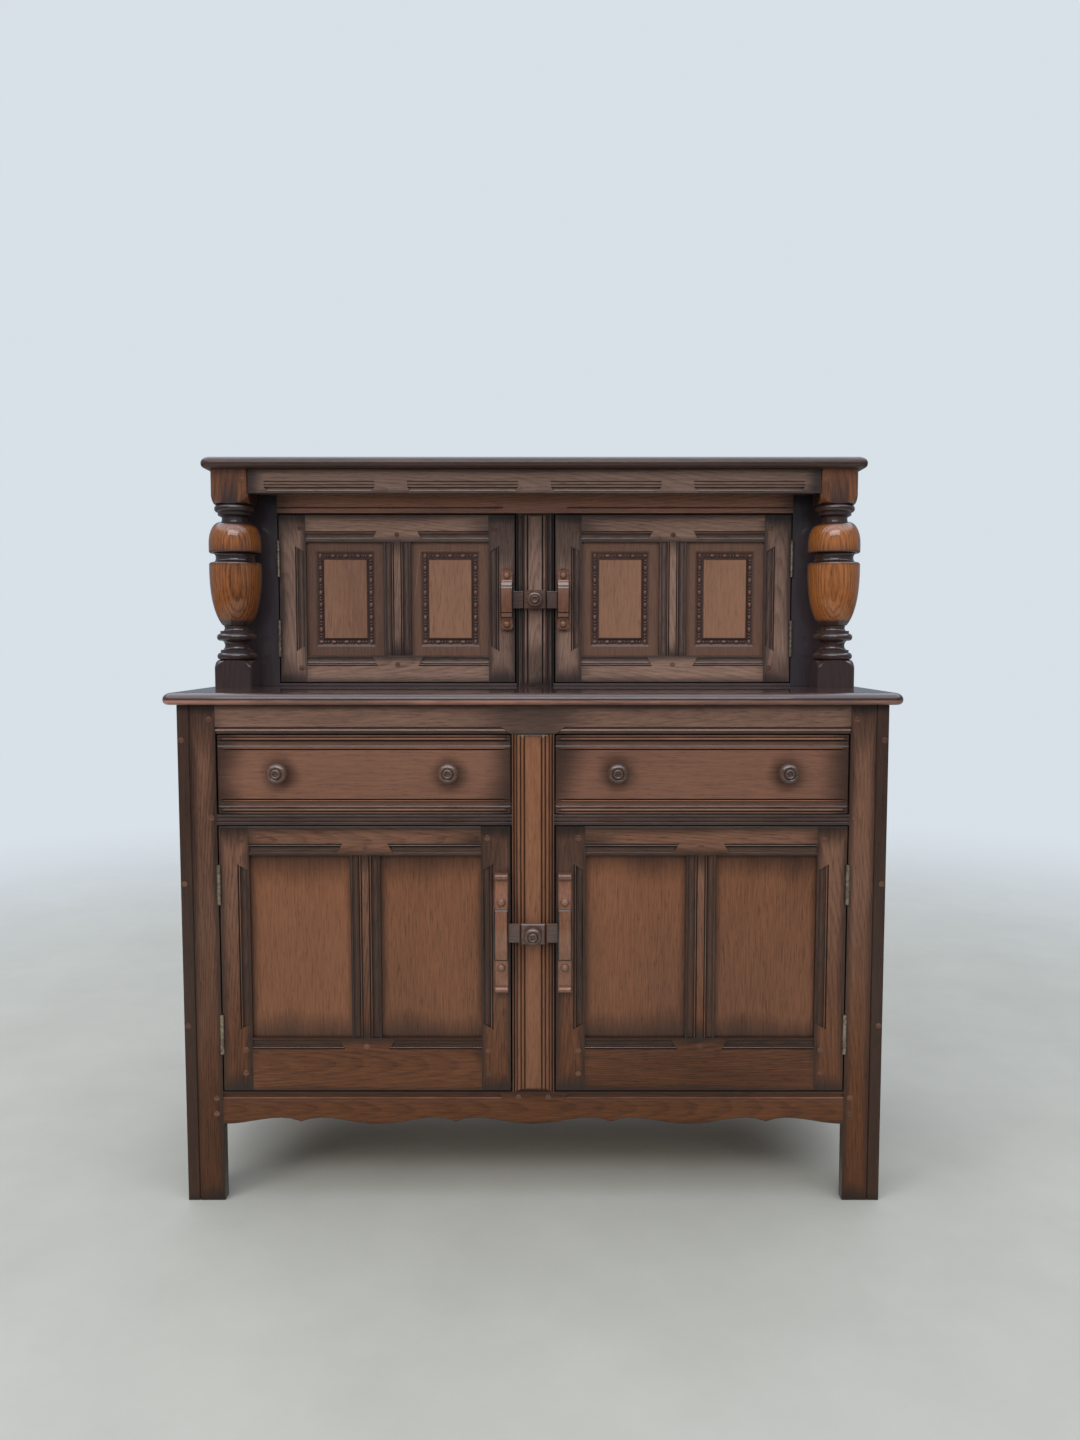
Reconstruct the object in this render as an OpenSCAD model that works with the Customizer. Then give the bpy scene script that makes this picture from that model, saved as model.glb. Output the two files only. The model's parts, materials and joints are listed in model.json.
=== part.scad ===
// Kitchen dresser in the court-cupboard form: a two-door cupboard with two drawers,
// and above it a shallower two-door cupboard set back behind turned columns.
// Lengths are in millimetres. +Z is up, +X is the viewer's right and -Y is the front.
// The origin is on the floor, under the middle of the bounding box.

/* [Lower cupboard] */
// Width over the two side frames
body_w = 1188; // [1000:1:1400]
// Depth from the face frame to the back panel
body_d = 475; // [420:1:560]
// Floor to the lowest points of the apron
floor_gap = 135; // [90:1:200]
// Height of the apron above its lowest points
apron_h = 57; // [45:1:90]
// Height of the crests in the apron's scalloped edge
scallop_h = 11; // [5:0.5:18]
// Height of a lower door
lower_door_h = 456; // [400:1:560]
// Height of the rail between the doors and the drawers
drawer_rail_h = 18; // [14:1:40]
// Height of a drawer front
drawer_h = 132; // [110:1:180]
// Height of the rail above the drawers
top_rail_h = 49; // [40:1:90]
// Thickness of the face frames
face_t = 20; // [18:1:26]
// Width of a face stile beside the doors
face_stile_w = 43.5; // [36:0.5:60]
// Width of the reeded pilaster between two doors
pilaster_w = 71; // [66:1:90]
// Chamfer along the joint of a face stile and its side frame
joint_chamfer = 1.5; // [0.5:0.5:3]

/* [Side frames] */
// Thickness of the posts and rails
side_t = 20; // [16:1:30]
// Width of a post, front to back
post_d = 52; // [40:1:80]
// Height of the top rail
side_top_rail_h = 62; // [45:1:100]
// Height of the bottom rail
side_bottom_rail_h = 86; // [60:1:120]
// Bottom rail's lower edge above the apron's lowest points
side_rail_rise = 6; // [0:1:20]

/* [Tops] */
// Thickness of both tops
top_t = 20; // [16:1:28]
// How far the lower top stands out in front
lower_overhang_front = 17; // [8:1:30]
// How far the lower top stands out at each side
lower_overhang_side = 22; // [8:1:28]
// How far the upper top stands out in front of the columns
upper_overhang_front = 20; // [8:1:30]
// How far the upper top stands out beside the columns
upper_overhang_side = 15; // [6:1:24]
// How far both tops stand out behind
overhang_back = 8; // [0:1:20]
// Width of the thumb moulding on a top's edge
nose_w = 15; // [8:1:20]
// Drop of the thumb moulding
nose_drop = 11; // [5:1:12]
// Radius of the rounding under a top's edge
nose_under = 8; // [2:0.5:8]
// Radius of a top's front corners in plan
top_corner_r = 18; // [8:1:30]

/* [Upper cupboard] */
// Face frame to the front of the columns
setback = 178; // [120:1:200]
// Gap between the widest part of a column and the recess behind it
column_gap = 2.5; // [0.5:0.5:10]
// Height of an upper door
upper_door_h = 316; // [260:1:400]
// Height of the rail over the upper doors
head_rail_h = 70; // [60:1:100]
// Height of the sill under the upper doors
sill_h = 5; // [4:1:12]
// Width of a stile beside the upper doors
recess_stile_w = 77; // [74:1:100]
// Thickness of the upper cupboard's sides
upper_side_t = 18; // [12:1:24]
// Height of the canopy rails
frieze_h = 44; // [36:1:58]
// Thickness of the canopy rails
frieze_t = 22; // [16:1:30]

/* [Columns] */
// Side frame to the outer face of a column's blocks
column_inset = 9.5; // [4:0.5:20]
// Side of the square blocks
block_w = 67; // [60:1:76]
// Chamfer on the edges of the blocks
block_chamfer = 3; // [1:0.5:5]
// Height of the lower block
base_block_h = 51; // [40:1:70]
// Height of the upper block
top_block_h = 62; // [58:1:80]
// Height of the turned shoulder cut into a block
shoulder_h = 28; // [12:1:30]
// Radius of the cup and of its cover
bulb_r = 47; // [40:1:50]
// Radius of the ring mouldings
ring_r = 36; // [33:0.5:40]
// Radius of the necks
neck_r = 23; // [18:0.5:28]
// Height of a ring moulding
ring_h = 13; // [10:1:16]
// Height of the square fillet beside a ring
fillet_h = 5; // [2:0.5:7]
// Height of the cove between the lower rings
cove_h = 17; // [10:1:24]
// Height of the neck under the cup
low_neck_h = 11; // [8:1:24]
// Height of the groove between cup and cover
waist_h = 17; // [8:1:24]
// Height of the cover
cover_h = 56; // [40:1:70]
// Height of the neck over the cover
high_neck_h = 13; // [6:1:24]
// Radius of the pins that hold a column in the two tops
column_pin_r = 10; // [6:1:16]
// Length of those pins
column_pin_l = 12; // [8:1:15]

/* [Doors] */
// Thickness of the doors
door_t = 20; // [18:1:26]
// Gap beside a door or drawer front
side_gap = 2.4; // [2:0.1:3]
// Gap over and under a door or drawer front
rail_gap = 2; // [1:0.1:3]
// Width of a door's stiles
door_stile_w = 50; // [44:1:64]
// Width of a lower door's muntin
lower_muntin_w = 51; // [48:1:70]
// Width of an upper door's muntin
upper_muntin_w = 52; // [48:1:70]
// Height of a lower door's top rail
lower_top_rail_h = 49; // [40:1:70]
// Height of a lower door's bottom rail
lower_bottom_rail_h = 92; // [60:1:120]
// Height of an upper door's rails
upper_rail_h = 51; // [40:1:70]
// Thickness of the panels
panel_t = 6; // [5:0.5:8]
// Door face to panel face
panel_set = 7; // [6:0.5:8]
// Depth of the grooves that hold the panels
panel_groove = 8; // [5:1:10]
// Length of the tenons
tenon_l = 26; // [15:1:32]
// Thickness of the tenons
tenon_t = 6; // [5:0.5:8]
// Tenon edge to rail edge
tenon_shoulder = 10; // [6:1:12]
// The same, on the thin rail and the scalloped apron
small_shoulder = 3; // [2:1:5]
// Clearance of glued and loose joints
fit = 0.1; // [0.05:0.05:0.3]

/* [Mouldings] */
// Width of the moulding beside a panel
mould_w = 20; // [16:1:22]
// Uncut wood where a moulding stops in a lower door's stile
lower_stile_stop = 15; // [5:1:40]
// Uncut wood where a moulding stops in an upper door's stile
upper_stile_stop = 8; // [5:1:30]
// Uncut wood where a moulding stops in a rail beside a muntin
rail_stop = 12; // [4:1:24]
// Run of a moulding's slanting stop for each unit of its width
stop_slant = 0.6; // [0.3:0.1:1]
// Uncut wood beside the pilaster on the apron and the rail over the upper doors
apron_stop = 25; // [12:1:40]
// Uncut wood beside the pilaster on the rail over the drawers
bead_stop = 3; // [1:1:20]
// Width of the reeding on each side of a pilaster
reed_w = 23; // [18:1:26]
// Length of the bevel at a pilaster's ends
pilaster_bevel_l = 8; // [4:1:14]
// Depth of the bevel at a pilaster's ends
pilaster_bevel_d = 3; // [1:0.5:4]
// Length of a group of grooves on the frieze
frieze_group_l = 200; // [120:1:220]
// Number of groups of grooves on the frieze
frieze_groups = 4; // [2:1:5]
// Width of the carved border on an upper panel
border_w = 16; // [14:1:20]
// Upper panel's edge to its carved border
border_margin = 17; // [8:1:24]
// Depth of the channel that the border is carved in
border_depth = 3; // [1:0.5:3.5]
// Width of that channel's outer slope
border_slope = 5; // [2:0.5:6]

/* [Drawers] */
// Thickness of the drawer sides and back
drawer_side_t = 10; // [8:1:14]
// Height of the drawer sides
drawer_side_h = 112; // [80:1:116]
// Length of a drawer behind its front
drawer_box_l = 420; // [300:1:425]
// Top of the drawer sides to the top of the drawer back
drawer_back_drop = 6; // [0:1:20]
// Thickness of the drawer bottom
drawer_bottom_t = 5; // [4:0.5:8]
// Lower edge of a drawer side to the underside of its bottom
drawer_bottom_rise = 9; // [6:1:16]
// How far a drawer side is let into the front
drawer_lap = 9; // [6:1:12]
// End of a drawer front to its side
drawer_side_inset = 1.5; // [1:0.5:4]
// Width of the bevel at the ends of a drawer front
end_bevel_w = 12; // [6:1:20]
// Drop of that bevel
end_bevel_d = 3; // [1:0.5:5]
// Distance between a drawer's knobs
knob_spacing = 284; // [160:1:360]
// Knobs above the middle of the drawer front
knob_rise = 3; // [-10:1:10]
// Running gap under a drawer
run_gap = 0.3; // [0.2:0.1:0.5]

/* [Knobs, handles and latches] */
// Radius of a drawer knob
knob_r = 17; // [12:0.5:22]
// Length of a drawer knob
knob_l = 27; // [20:1:36]
// Radius of a latch knob
latch_knob_r = 15.5; // [12:0.5:17]
// Length of a latch knob
latch_knob_l = 23; // [18:1:30]
// Width of the door handles
handle_w = 23.5; // [18:0.5:30]
// Door's free edge to its handle
handle_inset = 3.6; // [2:0.1:8]
// Length of a lower handle
lower_handle_l = 205; // [160:1:240]
// Length of a lower handle's arch
lower_arch_l = 82; // [60:1:100]
// Length of an upper handle
upper_handle_l = 118; // [100:1:150]
// Length of an upper handle's arch
upper_arch_l = 64; // [50:1:80]
// How far the arch of a handle stands proud
handle_proud = 28; // [24:1:34]
// Depth of the finger gap behind a lower handle's arch
finger_gap = 14; // [11:1:16]
// The same behind an upper handle's arch
upper_finger_gap = 11; // [9:1:13]
// How far the feet of a handle stand proud
foot_proud = 9; // [7:1:12]
// How far the lips at a lower handle's ends stand proud
lip_proud = 16; // [12:1:18]
// Lower door's bottom edge to its latch
lower_latch_z = 276; // [230:1:330]
// Upper door's bottom edge to its latch
upper_latch_z = 156; // [120:1:190]
// Width of a turning block
turn_block_w = 41; // [34:1:46]
// Height of a turning block
turn_block_h = 36; // [30:1:44]
// Thickness of a turning block
turn_block_t = 8; // [6:0.5:12]
// Height of a catch tongue
tongue_h = 32; // [24:1:40]
// Thickness of a catch tongue
tongue_t = 8; // [5:0.5:10]
// Gap between a tongue and the turning block, and behind a tongue
tongue_gap = 1; // [0.5:0.1:2]
// Length of a tongue's tail let into its door stile
tongue_tail = 22; // [16:1:42]
// Depth of that tail
tongue_let_in = 4; // [3:0.5:5]
// Radius of a latch spindle
spindle_r = 6; // [4:0.5:9]
// Running clearance of a latch spindle in its bore
spindle_fit = 0.05; // [0.03:0.01:0.1]
// Radius of the keeper on a spindle's inner end
keeper_r = 14; // [10:1:18]
// Thickness of the keeper
keeper_t = 7; // [4:1:12]

/* [Hinges] */
// Length of a butt hinge
hinge_l = 68; // [50:1:80]
// Lower door's end to its hinge
lower_hinge_end = 65; // [40:1:90]
// Upper door's end to its hinge
upper_hinge_end = 49; // [30:1:70]
// Width of a hinge leaf
leaf_w = 16; // [10:1:17]
// Thickness of a hinge leaf
leaf_t = 1; // [0.8:0.1:1.1]
// Radius of a hinge knuckle
knuckle_r = 3.4; // [3:0.1:4]
// Radius of a hinge pin
pin_r = 1.5; // [1:0.1:2]
// Running clearance of a pin in its knuckle
pin_fit = 0.05; // [0.03:0.01:0.1]
// Door face to the hinge axis in front of it
pin_proud = 1; // [0.5:0.1:1.5]
// Gap between knuckles and round them in the wood
knuckle_gap = 0.4; // [0.3:0.1:0.6]

/* [Inside] */
// Thickness of the cupboard floor and shelf
shelf_t = 15; // [12:1:20]
// Depth of the shelf
shelf_d = 300; // [200:1:380]
// Floor of the cupboard to the shelf's underside
shelf_rise = 222; // [150:1:300]
// Thickness of the back panels
back_t = 5; // [4:0.5:9]
// Side of a shelf bearer
bearer_w = 20; // [14:1:30]
// Width of an outer drawer runner inside the side frame
runner_w = 68; // [60:1:90]
// Width of the runner between the drawers
centre_runner_w = 116; // [104:1:140]
// Height of a kicker over a drawer
kicker_h = 20; // [14:1:30]

/* [Hidden] */
$fn = 48;
// Heights, from the floor up
apron_top = floor_gap + apron_h;
lower_door_z = apron_top + rail_gap;
drawer_rail_z = lower_door_z + lower_door_h + rail_gap;
drawer_z = drawer_rail_z + drawer_rail_h + rail_gap;
top_rail_z = drawer_z + drawer_h + rail_gap;
carcass_h = top_rail_z + top_rail_h;
counter_z = carcass_h + top_t;
sill_z = counter_z + sill_h;
upper_door_z = sill_z + rail_gap;
head_rail_z = upper_door_z + upper_door_h + rail_gap;
canopy_z = head_rail_z + head_rail_h;
frieze_z = canopy_z - frieze_h;
upper_h = canopy_z - counter_z;
lower_latch_height = lower_door_z + lower_latch_z;
upper_latch_height = upper_door_z + upper_latch_z;

// How far a latch, a drawer knob and a handle reach in front of the wood they are on
latch_reach = 2 * tongue_gap + tongue_t + turn_block_t + latch_knob_l;
front_reach = max(latch_reach, knob_l, handle_proud, lower_overhang_front);

// Places along Y, with the bounding box centred on the origin
face_y = front_reach - (front_reach + body_d + overhang_back) / 2;
back_y = face_y + body_d;
block_y = face_y + setback;
recess_y = block_y + block_w / 2 + bulb_r + column_gap;
top_back_y = back_y + overhang_back;

// Half widths along X
half_w = body_w / 2;
side_in_x = half_w - side_t;
open_x = side_in_x - face_stile_w;
pilaster_x = pilaster_w / 2;
door_in_x = pilaster_x + side_gap;
lower_door_x = open_x - side_gap;
block_x = half_w - column_inset;
column_x = block_x - block_w / 2;
upper_side_x = block_x - frieze_t;
recess_open_x = upper_side_x - recess_stile_w;
upper_door_x = recess_open_x - side_gap;

// Latch pieces, measured forward from the pilaster's face
tongue_back = tongue_gap;
tongue_front = tongue_gap + tongue_t;
turn_block_back = tongue_front + tongue_gap;
turn_block_front = turn_block_back + turn_block_t;
tongue_tip_x = turn_block_w / 2 + tongue_gap + 0.8;
handle_x = door_in_x + handle_inset;
keeper_gap = 0.3;

// Handles: the arch's fall to its ends, the lips' height, and the rounded ends of the finger gap
arch_fall = 4;
lip_h = 12;
grip_end = 8;
grip_round = 9;

// How thin cutters run past the surface they cut
over = 1;
// How deep the masks at a moulding's ends reach
mask_d = 8;

// Colours of the finishes
oak = [0.33, 0.21, 0.15];
dark_oak = [0.22, 0.15, 0.12];
turned_oak = [0.48, 0.27, 0.12];
pale_oak = [0.47, 0.35, 0.27];
inside_wood = [0.62, 0.50, 0.36];
brass = [0.72, 0.60, 0.30];

// A plain board between two corners
module board(x0, x1, y0, y1, z0, z1) {
  translate([x0, y0, z0]) cube([x1 - x0, y1 - y0, z1 - z0]);
}

// A profile in the YZ plane, drawn as [y, z], run along X
module along_x(x0, x1, points) {
  translate([x0, 0, 0]) rotate([90, 0, 90]) linear_extrude(x1 - x0) polygon(points);
}

// A profile in the XZ plane, drawn as [x, z], run along Y
module along_y(y0, y1, points) {
  translate([0, y1, 0]) rotate([90, 0, 0]) linear_extrude(y1 - y0) polygon(points);
}

// A profile in the XY plane, run along Z
module along_z(z0, z1, points) {
  translate([0, 0, z0]) linear_extrude(z1 - z0) polygon(points);
}

module left_side() {
  mirror([1, 0, 0]) children();
}

module both_sides() {
  children();
  left_side() children();
}

function reversed(list) = [for (i = [len(list) - 1:-1:0]) list[i]];

// Points on an ellipse about [x, y] from angle a0 to a1
function ellipse(x, y, rx, ry, a0, a1, steps = 8) =
  [for (i = [0:steps]) let (a = a0 + (a1 - a0) * i / steps) [x + rx * cos(a), y + ry * sin(a)]];

// Points on a cubic curve
function curve(a, b, c, d, steps = 10) =
  [for (i = [0:steps]) let (t = i / steps, s = 1 - t)
    s * s * s * a + 3 * s * s * t * b + 3 * s * t * t * c + t * t * t * d];

// Thumb moulding on the edge of a top, as [distance in from the edge, height]
function nose() = concat(
  ellipse(nose_under, nose_under, nose_under, nose_under, 270, 180, 6),
  ellipse(nose_w, top_t - nose_drop, nose_w, nose_drop, 180, 90, 8)
);

// A top with a thumb moulding on its front and both ends
module moulded_top(half, front, back, z) {
  edge = nose();
  front_profile = concat([for (p = edge) [front + p[0], z + p[1]]],
    [[back, z + top_t], [back, z]]);
  end_profile = concat([for (p = edge) [half - p[0], z + p[1]]],
    reversed([for (p = edge) [p[0] - half, z + p[1]]]));
  r = top_corner_r;
  intersection() {
    along_x(-half - over, half + over, front_profile);
    along_y(front - over, back + over, end_profile);
    union() {
      board(r - half, half - r, front, back, z, z + top_t);
      board(-half, half, front + r, back, z, z + top_t);
      for (side = [-1, 1]) translate([side * (half - r), front + r, z]) cylinder(h = top_t, r = r);
    }
  }
}

module lower_top() color(oak) difference() {
  moulded_top(half_w + lower_overhang_side, face_y - lower_overhang_front, top_back_y, carcass_h);
  column_pins(fit);
}

module upper_top() color(oak) difference() {
  moulded_top(block_x + upper_overhang_side, block_y - upper_overhang_front, top_back_y, canopy_z);
  column_pins(fit);
}

// Pins at both ends of the columns, or their holes when grown by the fit
module column_pin(grow)
  translate([0, 0, -column_pin_l - grow])
    cylinder(h = upper_h + 2 * (column_pin_l + grow), r = column_pin_r + grow);

module column_pins(grow)
  both_sides() translate([column_x, block_y + block_w / 2, counter_z]) column_pin(grow);

// Side frames: two posts that run down as legs, and two tenoned rails
side_rail_z = floor_gap + side_rail_rise;
side_panel_z = side_rail_z + side_bottom_rail_h;
side_panel_top = carcass_h - side_top_rail_h;
side_mid_x = half_w - side_t / 2;

module side_tenons(y0, y1, z0, z1, grow) {
  board(side_mid_x - tenon_t / 2 - grow, side_mid_x + tenon_t / 2 + grow,
    y0 - tenon_l - grow, y1 + tenon_l + grow, z0 + tenon_shoulder - grow, z1 - tenon_shoulder + grow);
}

module side_panel_board(grow) {
  board(side_mid_x - panel_t / 2 - grow, side_mid_x + panel_t / 2 + grow,
    face_y + post_d - panel_groove + fit - grow, back_y - post_d + panel_groove - fit + grow,
    side_panel_z - panel_groove + fit - grow, side_panel_top + panel_groove - fit + grow);
}

module side_frame() {
  rails_y0 = face_y + post_d;
  rails_y1 = back_y - post_d;
  c = joint_chamfer;
  difference() {
    union() {
      difference() {
        board(side_in_x, half_w, face_y, rails_y0, 0, carcass_h);
        along_z(-over, carcass_h + over, [[side_in_x - c, face_y - over],
          [side_in_x + c + over, face_y - over], [side_in_x - over, face_y + c + over]]);
      }
      board(side_in_x, half_w, rails_y1, back_y, 0, carcass_h);
    }
    side_tenons(rails_y0, rails_y1, side_rail_z, side_panel_z, fit);
    side_tenons(rails_y0, rails_y1, side_panel_top, carcass_h, fit);
    side_panel_board(fit);
  }
  difference() {
    union() {
      board(side_in_x, half_w, rails_y0 + fit, rails_y1 - fit, side_rail_z, side_panel_z);
      side_tenons(rails_y0, rails_y1, side_rail_z, side_panel_z, 0);
      board(side_in_x, half_w, rails_y0 + fit, rails_y1 - fit, side_panel_top, carcass_h);
      side_tenons(rails_y0, rails_y1, side_panel_top, carcass_h, 0);
    }
    side_panel_board(fit);
  }
}

module side_frames() color(oak) both_sides() side_frame();
module side_panels() color(oak) both_sides() side_panel_board(0);

// The moulding cut beside a panel: a bead between two quirks, then a cove and a fillet.
// Points are [distance from the flat, depth]; the fillet meets the panel's edge.
function mould_profile() = concat(
  [[0, 0], [0.06, 0.1] * mould_w],
  [for (p = ellipse(0.16, 0.1, 0.05, 0.08, 180, 360, 4)) p * mould_w],
  [[0.25, 0.1] * mould_w],
  [for (p = ellipse(0.55, 0.03, 0.27, 0.12, 180, 0, 6)) p * mould_w],
  [[0.84, 0.03] * mould_w, [1, 0.03] * mould_w]
);

// Mask for a moulding from e0 to e1 whose ends slant in by s0 and s1 for each unit across it.
// Points are [place along the moulding, distance across it].
function stops(e0, e1, s0, s1, across) =
  [[e0 - 2 * over * s0, -2 * over], [e0 + s0 * (across + 2 * over), across + 2 * over],
    [e1 - s1 * (across + 2 * over), across + 2 * over], [e1 + 2 * over * s1, -2 * over]];

// Cutters for that moulding, along Z at x in direction dir, and along X at z
module mould_z(x, dir, y, z0, z1, slant) {
  points = [for (p = mould_profile()) [x + dir * p[0], y + p[1]]];
  intersection() {
    along_z(z0, z1, concat(points, [[x + dir * (mould_w + over), y + 0.03 * mould_w],
      [x + dir * (mould_w + over), y - over], [x, y - over]]));
    along_y(y - 2 * over, y + mask_d,
      [for (p = stops(z0, z1, slant, slant, mould_w)) [x + dir * p[1], p[0]]]);
  }
}

module mould_x(z, dir, y, x0, x1, s0, s1) {
  points = [for (p = mould_profile()) [y + p[1], z + dir * p[0]]];
  intersection() {
    along_x(x0, x1, concat(points, [[y + 0.03 * mould_w, z + dir * (mould_w + over)],
      [y - over, z + dir * (mould_w + over)], [y - over, z]]));
    along_y(y - 2 * over, y + mask_d, [for (p = stops(x0, x1, s0, s1, mould_w)) [p[0], z + dir * p[1]]]);
  }
}

// A moulding along a rail's edge at height z, from x0, where it slants, to x1.
// Points are [distance in from the edge, depth].
module edge_mould_x(points, z, dir, y, x0, x1, slant) {
  last = points[len(points) - 1];
  intersection() {
    along_x(x0 - last[0], x1, concat([for (p = points) [y + p[1], z + dir * p[0]]],
      [[y - over, z + dir * last[0]], [y - over, z - dir * over], [y + points[0][1], z - dir * over]]));
    along_y(y - 2 * over, y + mask_d, [for (p = stops(x0, x1, slant, 0, last[0])) [p[0], z + dir * p[1]]]);
  }
}

// Lower edge of the rail over the drawers: a rebate, a bead and a quirk
top_rail_edge = [[0, 3], [4, 3], [4.5, 1], [6, 0.3], [7.5, 1], [8, 2.8], [11, 2.8], [12, 0]];
// Upper edge of the apron: a fillet, a hollow, a bead and a quirk
apron_edge = [[0, 0.6], [4, 0.6], [5, 3], [9, 3], [10, 0.9], [11.5, 0.3], [13, 0.9], [13.5, 1.8], [15, 0]];

// A V-shaped groove along X
module v_groove_x(x0, x1, y, z, w) {
  along_x(x0, x1, [[y - over, z - w / 2], [y, z - w / 2], [y + w / 2, z], [y, z + w / 2],
    [y - over, z + w / 2]]);
}

// Butt hinges. Each is drawn about its own axis, with the door on the -X side.
knuckle_l = hinge_l / 3;
leaf_gap = side_gap / 2 - leaf_t;
// Where the hinges of a door stand, as heights of their lower ends
function hinge_ends(z, h, end) = [z + end, z + h - end - hinge_l];
lower_hinges = hinge_ends(lower_door_z, lower_door_h, lower_hinge_end);
upper_hinges = hinge_ends(upper_door_z, upper_door_h, upper_hinge_end);
lower_pin_x = open_x - side_gap / 2;
upper_pin_x = recess_open_x - side_gap / 2;

// Room for a hinge's knuckles in the wood beside it
module knuckle_room(x, y, heights) {
  for (z = heights) translate([x, y - pin_proud, z - knuckle_gap])
    cylinder(h = hinge_l + 2 * knuckle_gap, r = knuckle_r + knuckle_gap);
}

module frame_leaf(x, y, z) {
  pin_y = y - pin_proud;
  difference() {
    union() {
      board(x + leaf_gap, x + side_gap / 2, y, y + leaf_w, z, z + hinge_l);
      board(x, x + side_gap / 2, pin_y, y + knuckle_r, z, z + hinge_l);
      translate([x, pin_y, z]) cylinder(h = hinge_l, r = knuckle_r);
    }
    translate([x, pin_y, z + knuckle_l - knuckle_gap])
      difference() {
        cylinder(h = knuckle_l + 2 * knuckle_gap, r = knuckle_r + knuckle_gap);
        translate([0, 0, -over]) cylinder(h = knuckle_l + 4 * over, r = pin_r);
      }
  }
}

module door_leaf(x, y, z) {
  pin_y = y - pin_proud;
  difference() {
    union() {
      board(x - side_gap / 2, x - leaf_gap, y, y + leaf_w, z, z + hinge_l);
      board(x - side_gap / 2, x, pin_y, y + knuckle_r, z + knuckle_l, z + 2 * knuckle_l);
      translate([x, pin_y, z + knuckle_l]) cylinder(h = knuckle_l, r = knuckle_r);
    }
    translate([x, pin_y, z - over]) cylinder(h = hinge_l + 2 * over, r = pin_r + pin_fit);
    for (end = [z - over, z + 2 * knuckle_l]) translate([x, pin_y, end])
      cylinder(h = knuckle_l + over, r = knuckle_r + knuckle_gap);
  }
}

module frame_hinge_leaves() color(brass) both_sides() {
  for (z = lower_hinges) frame_leaf(lower_pin_x, face_y, z);
  for (z = upper_hinges) frame_leaf(upper_pin_x, recess_y, z);
}

// Tenons of the face frame's rails, and their mortices when grown by the fit
module face_tenon(x, z0, z1, grow) {
  board(x - grow, x + tenon_l + grow, face_y + (face_t - tenon_t) / 2 - grow,
    face_y + (face_t + tenon_t) / 2 + grow, z0 - grow, z1 + grow);
}

module apron_tenon(grow)
  face_tenon(open_x, floor_gap + scallop_h + small_shoulder, apron_top - tenon_shoulder, grow);

module drawer_rail_tenon(grow)
  face_tenon(open_x, drawer_rail_z + small_shoulder, drawer_rail_z + drawer_rail_h - small_shoulder, grow);

module top_rail_tenon(grow)
  face_tenon(open_x, top_rail_z + tenon_shoulder, carcass_h - tenon_shoulder, grow);

module face_stiles() color(oak) both_sides() difference() {
  board(open_x, side_in_x, face_y, face_y + face_t, 0, carcass_h);
  along_z(-over, carcass_h + over, [[side_in_x + joint_chamfer, face_y - over],
    [side_in_x - joint_chamfer - over, face_y - over], [side_in_x + over, face_y + joint_chamfer + over]]);
  apron_tenon(fit);
  drawer_rail_tenon(fit);
  top_rail_tenon(fit);
  knuckle_room(lower_pin_x, face_y, lower_hinges);
}

module top_rail() color(oak) difference() {
  union() {
    board(-open_x, open_x, face_y, face_y + face_t, top_rail_z, carcass_h);
    both_sides() top_rail_tenon(0);
  }
  both_sides() edge_mould_x(top_rail_edge, top_rail_z, 1, face_y, pilaster_x + bead_stop, open_x, 1.25);
  pilaster_tenon(top_rail_z, 1, face_y, fit);
}

module drawer_rails() color(oak) both_sides() difference() {
  union() {
    board(pilaster_x, open_x, face_y, face_y + face_t, drawer_rail_z, drawer_rail_z + drawer_rail_h);
    drawer_rail_tenon(0);
  }
  v_groove_x(pilaster_x - over, open_x, face_y, drawer_rail_z + drawer_rail_h / 3, 3);
  v_groove_x(pilaster_x - over, open_x, face_y, drawer_rail_z + drawer_rail_h * 2 / 3, 3);
}

// Scalloped lower edge of the apron: each bay rises to two crests with a cusp between them
apron_bays = 4;
function scallop(u) =
  let (v = min(u, 1 - u), crest = 0.38)
  v < crest ? scallop_h * (1 - cos(180 * v / crest)) / 2
            : scallop_h * (1 - 0.6 * (1 - cos(90 * (v - crest) / (0.5 - crest))));

module apron() color(oak) difference() {
  union() {
    intersection() {
      board(-open_x, open_x, face_y, face_y + face_t, floor_gap, apron_top);
      along_y(face_y - over, face_y + face_t + over, concat(
        [[open_x + over, apron_top + over], [-open_x - over, apron_top + over], [-open_x - over, floor_gap]],
        [for (bay = [0:apron_bays - 1], i = [0:15])
          [-open_x + 2 * open_x * (bay + i / 16) / apron_bays, floor_gap + scallop(i / 16)]],
        [[open_x, floor_gap], [open_x + over, floor_gap]]));
    }
    both_sides() apron_tenon(0);
  }
  both_sides() edge_mould_x(apron_edge, apron_top, -1, face_y, pilaster_x + apron_stop, open_x, -stop_slant);
  pilaster_tenon(apron_top, -1, face_y, fit);
}

// Pilasters stand between two doors, reeded on both sides of a flat
function reeding() = [
  [0, 0], [0.09, 0.1], [0.18, 0.03], [0.27, 0.03], [0.36, 0.1], [0.42, 0.04], [0.5, 0.02],
  [0.58, 0.04], [0.64, 0.11], [0.72, 0.05], [0.8, 0.05], [0.86, 0.1], [0.9, 0.02], [1, 0.02]
];

module reeding_cut(x, y, z0, z1) {
  points = [for (p = reeding()) [x + p[0] * reed_w, y + p[1] * reed_w]];
  along_z(z0, z1, concat(points, [[x + reed_w + over, y + 0.02 * reed_w],
    [x + reed_w + over, y - over], [x, y - over]]));
}

// A pilaster's tenon at height z, pointing up or down, or its mortice when grown by the fit
module pilaster_tenon(z, dir, y, grow) {
  ends = [z - dir * over, z + dir * (tenon_l + grow)];
  board(-pilaster_x + tenon_shoulder - grow, pilaster_x - tenon_shoulder + grow,
    y + (face_t - tenon_t) / 2 - grow, y + (face_t + tenon_t) / 2 + grow, min(ends), max(ends));
}

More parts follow.
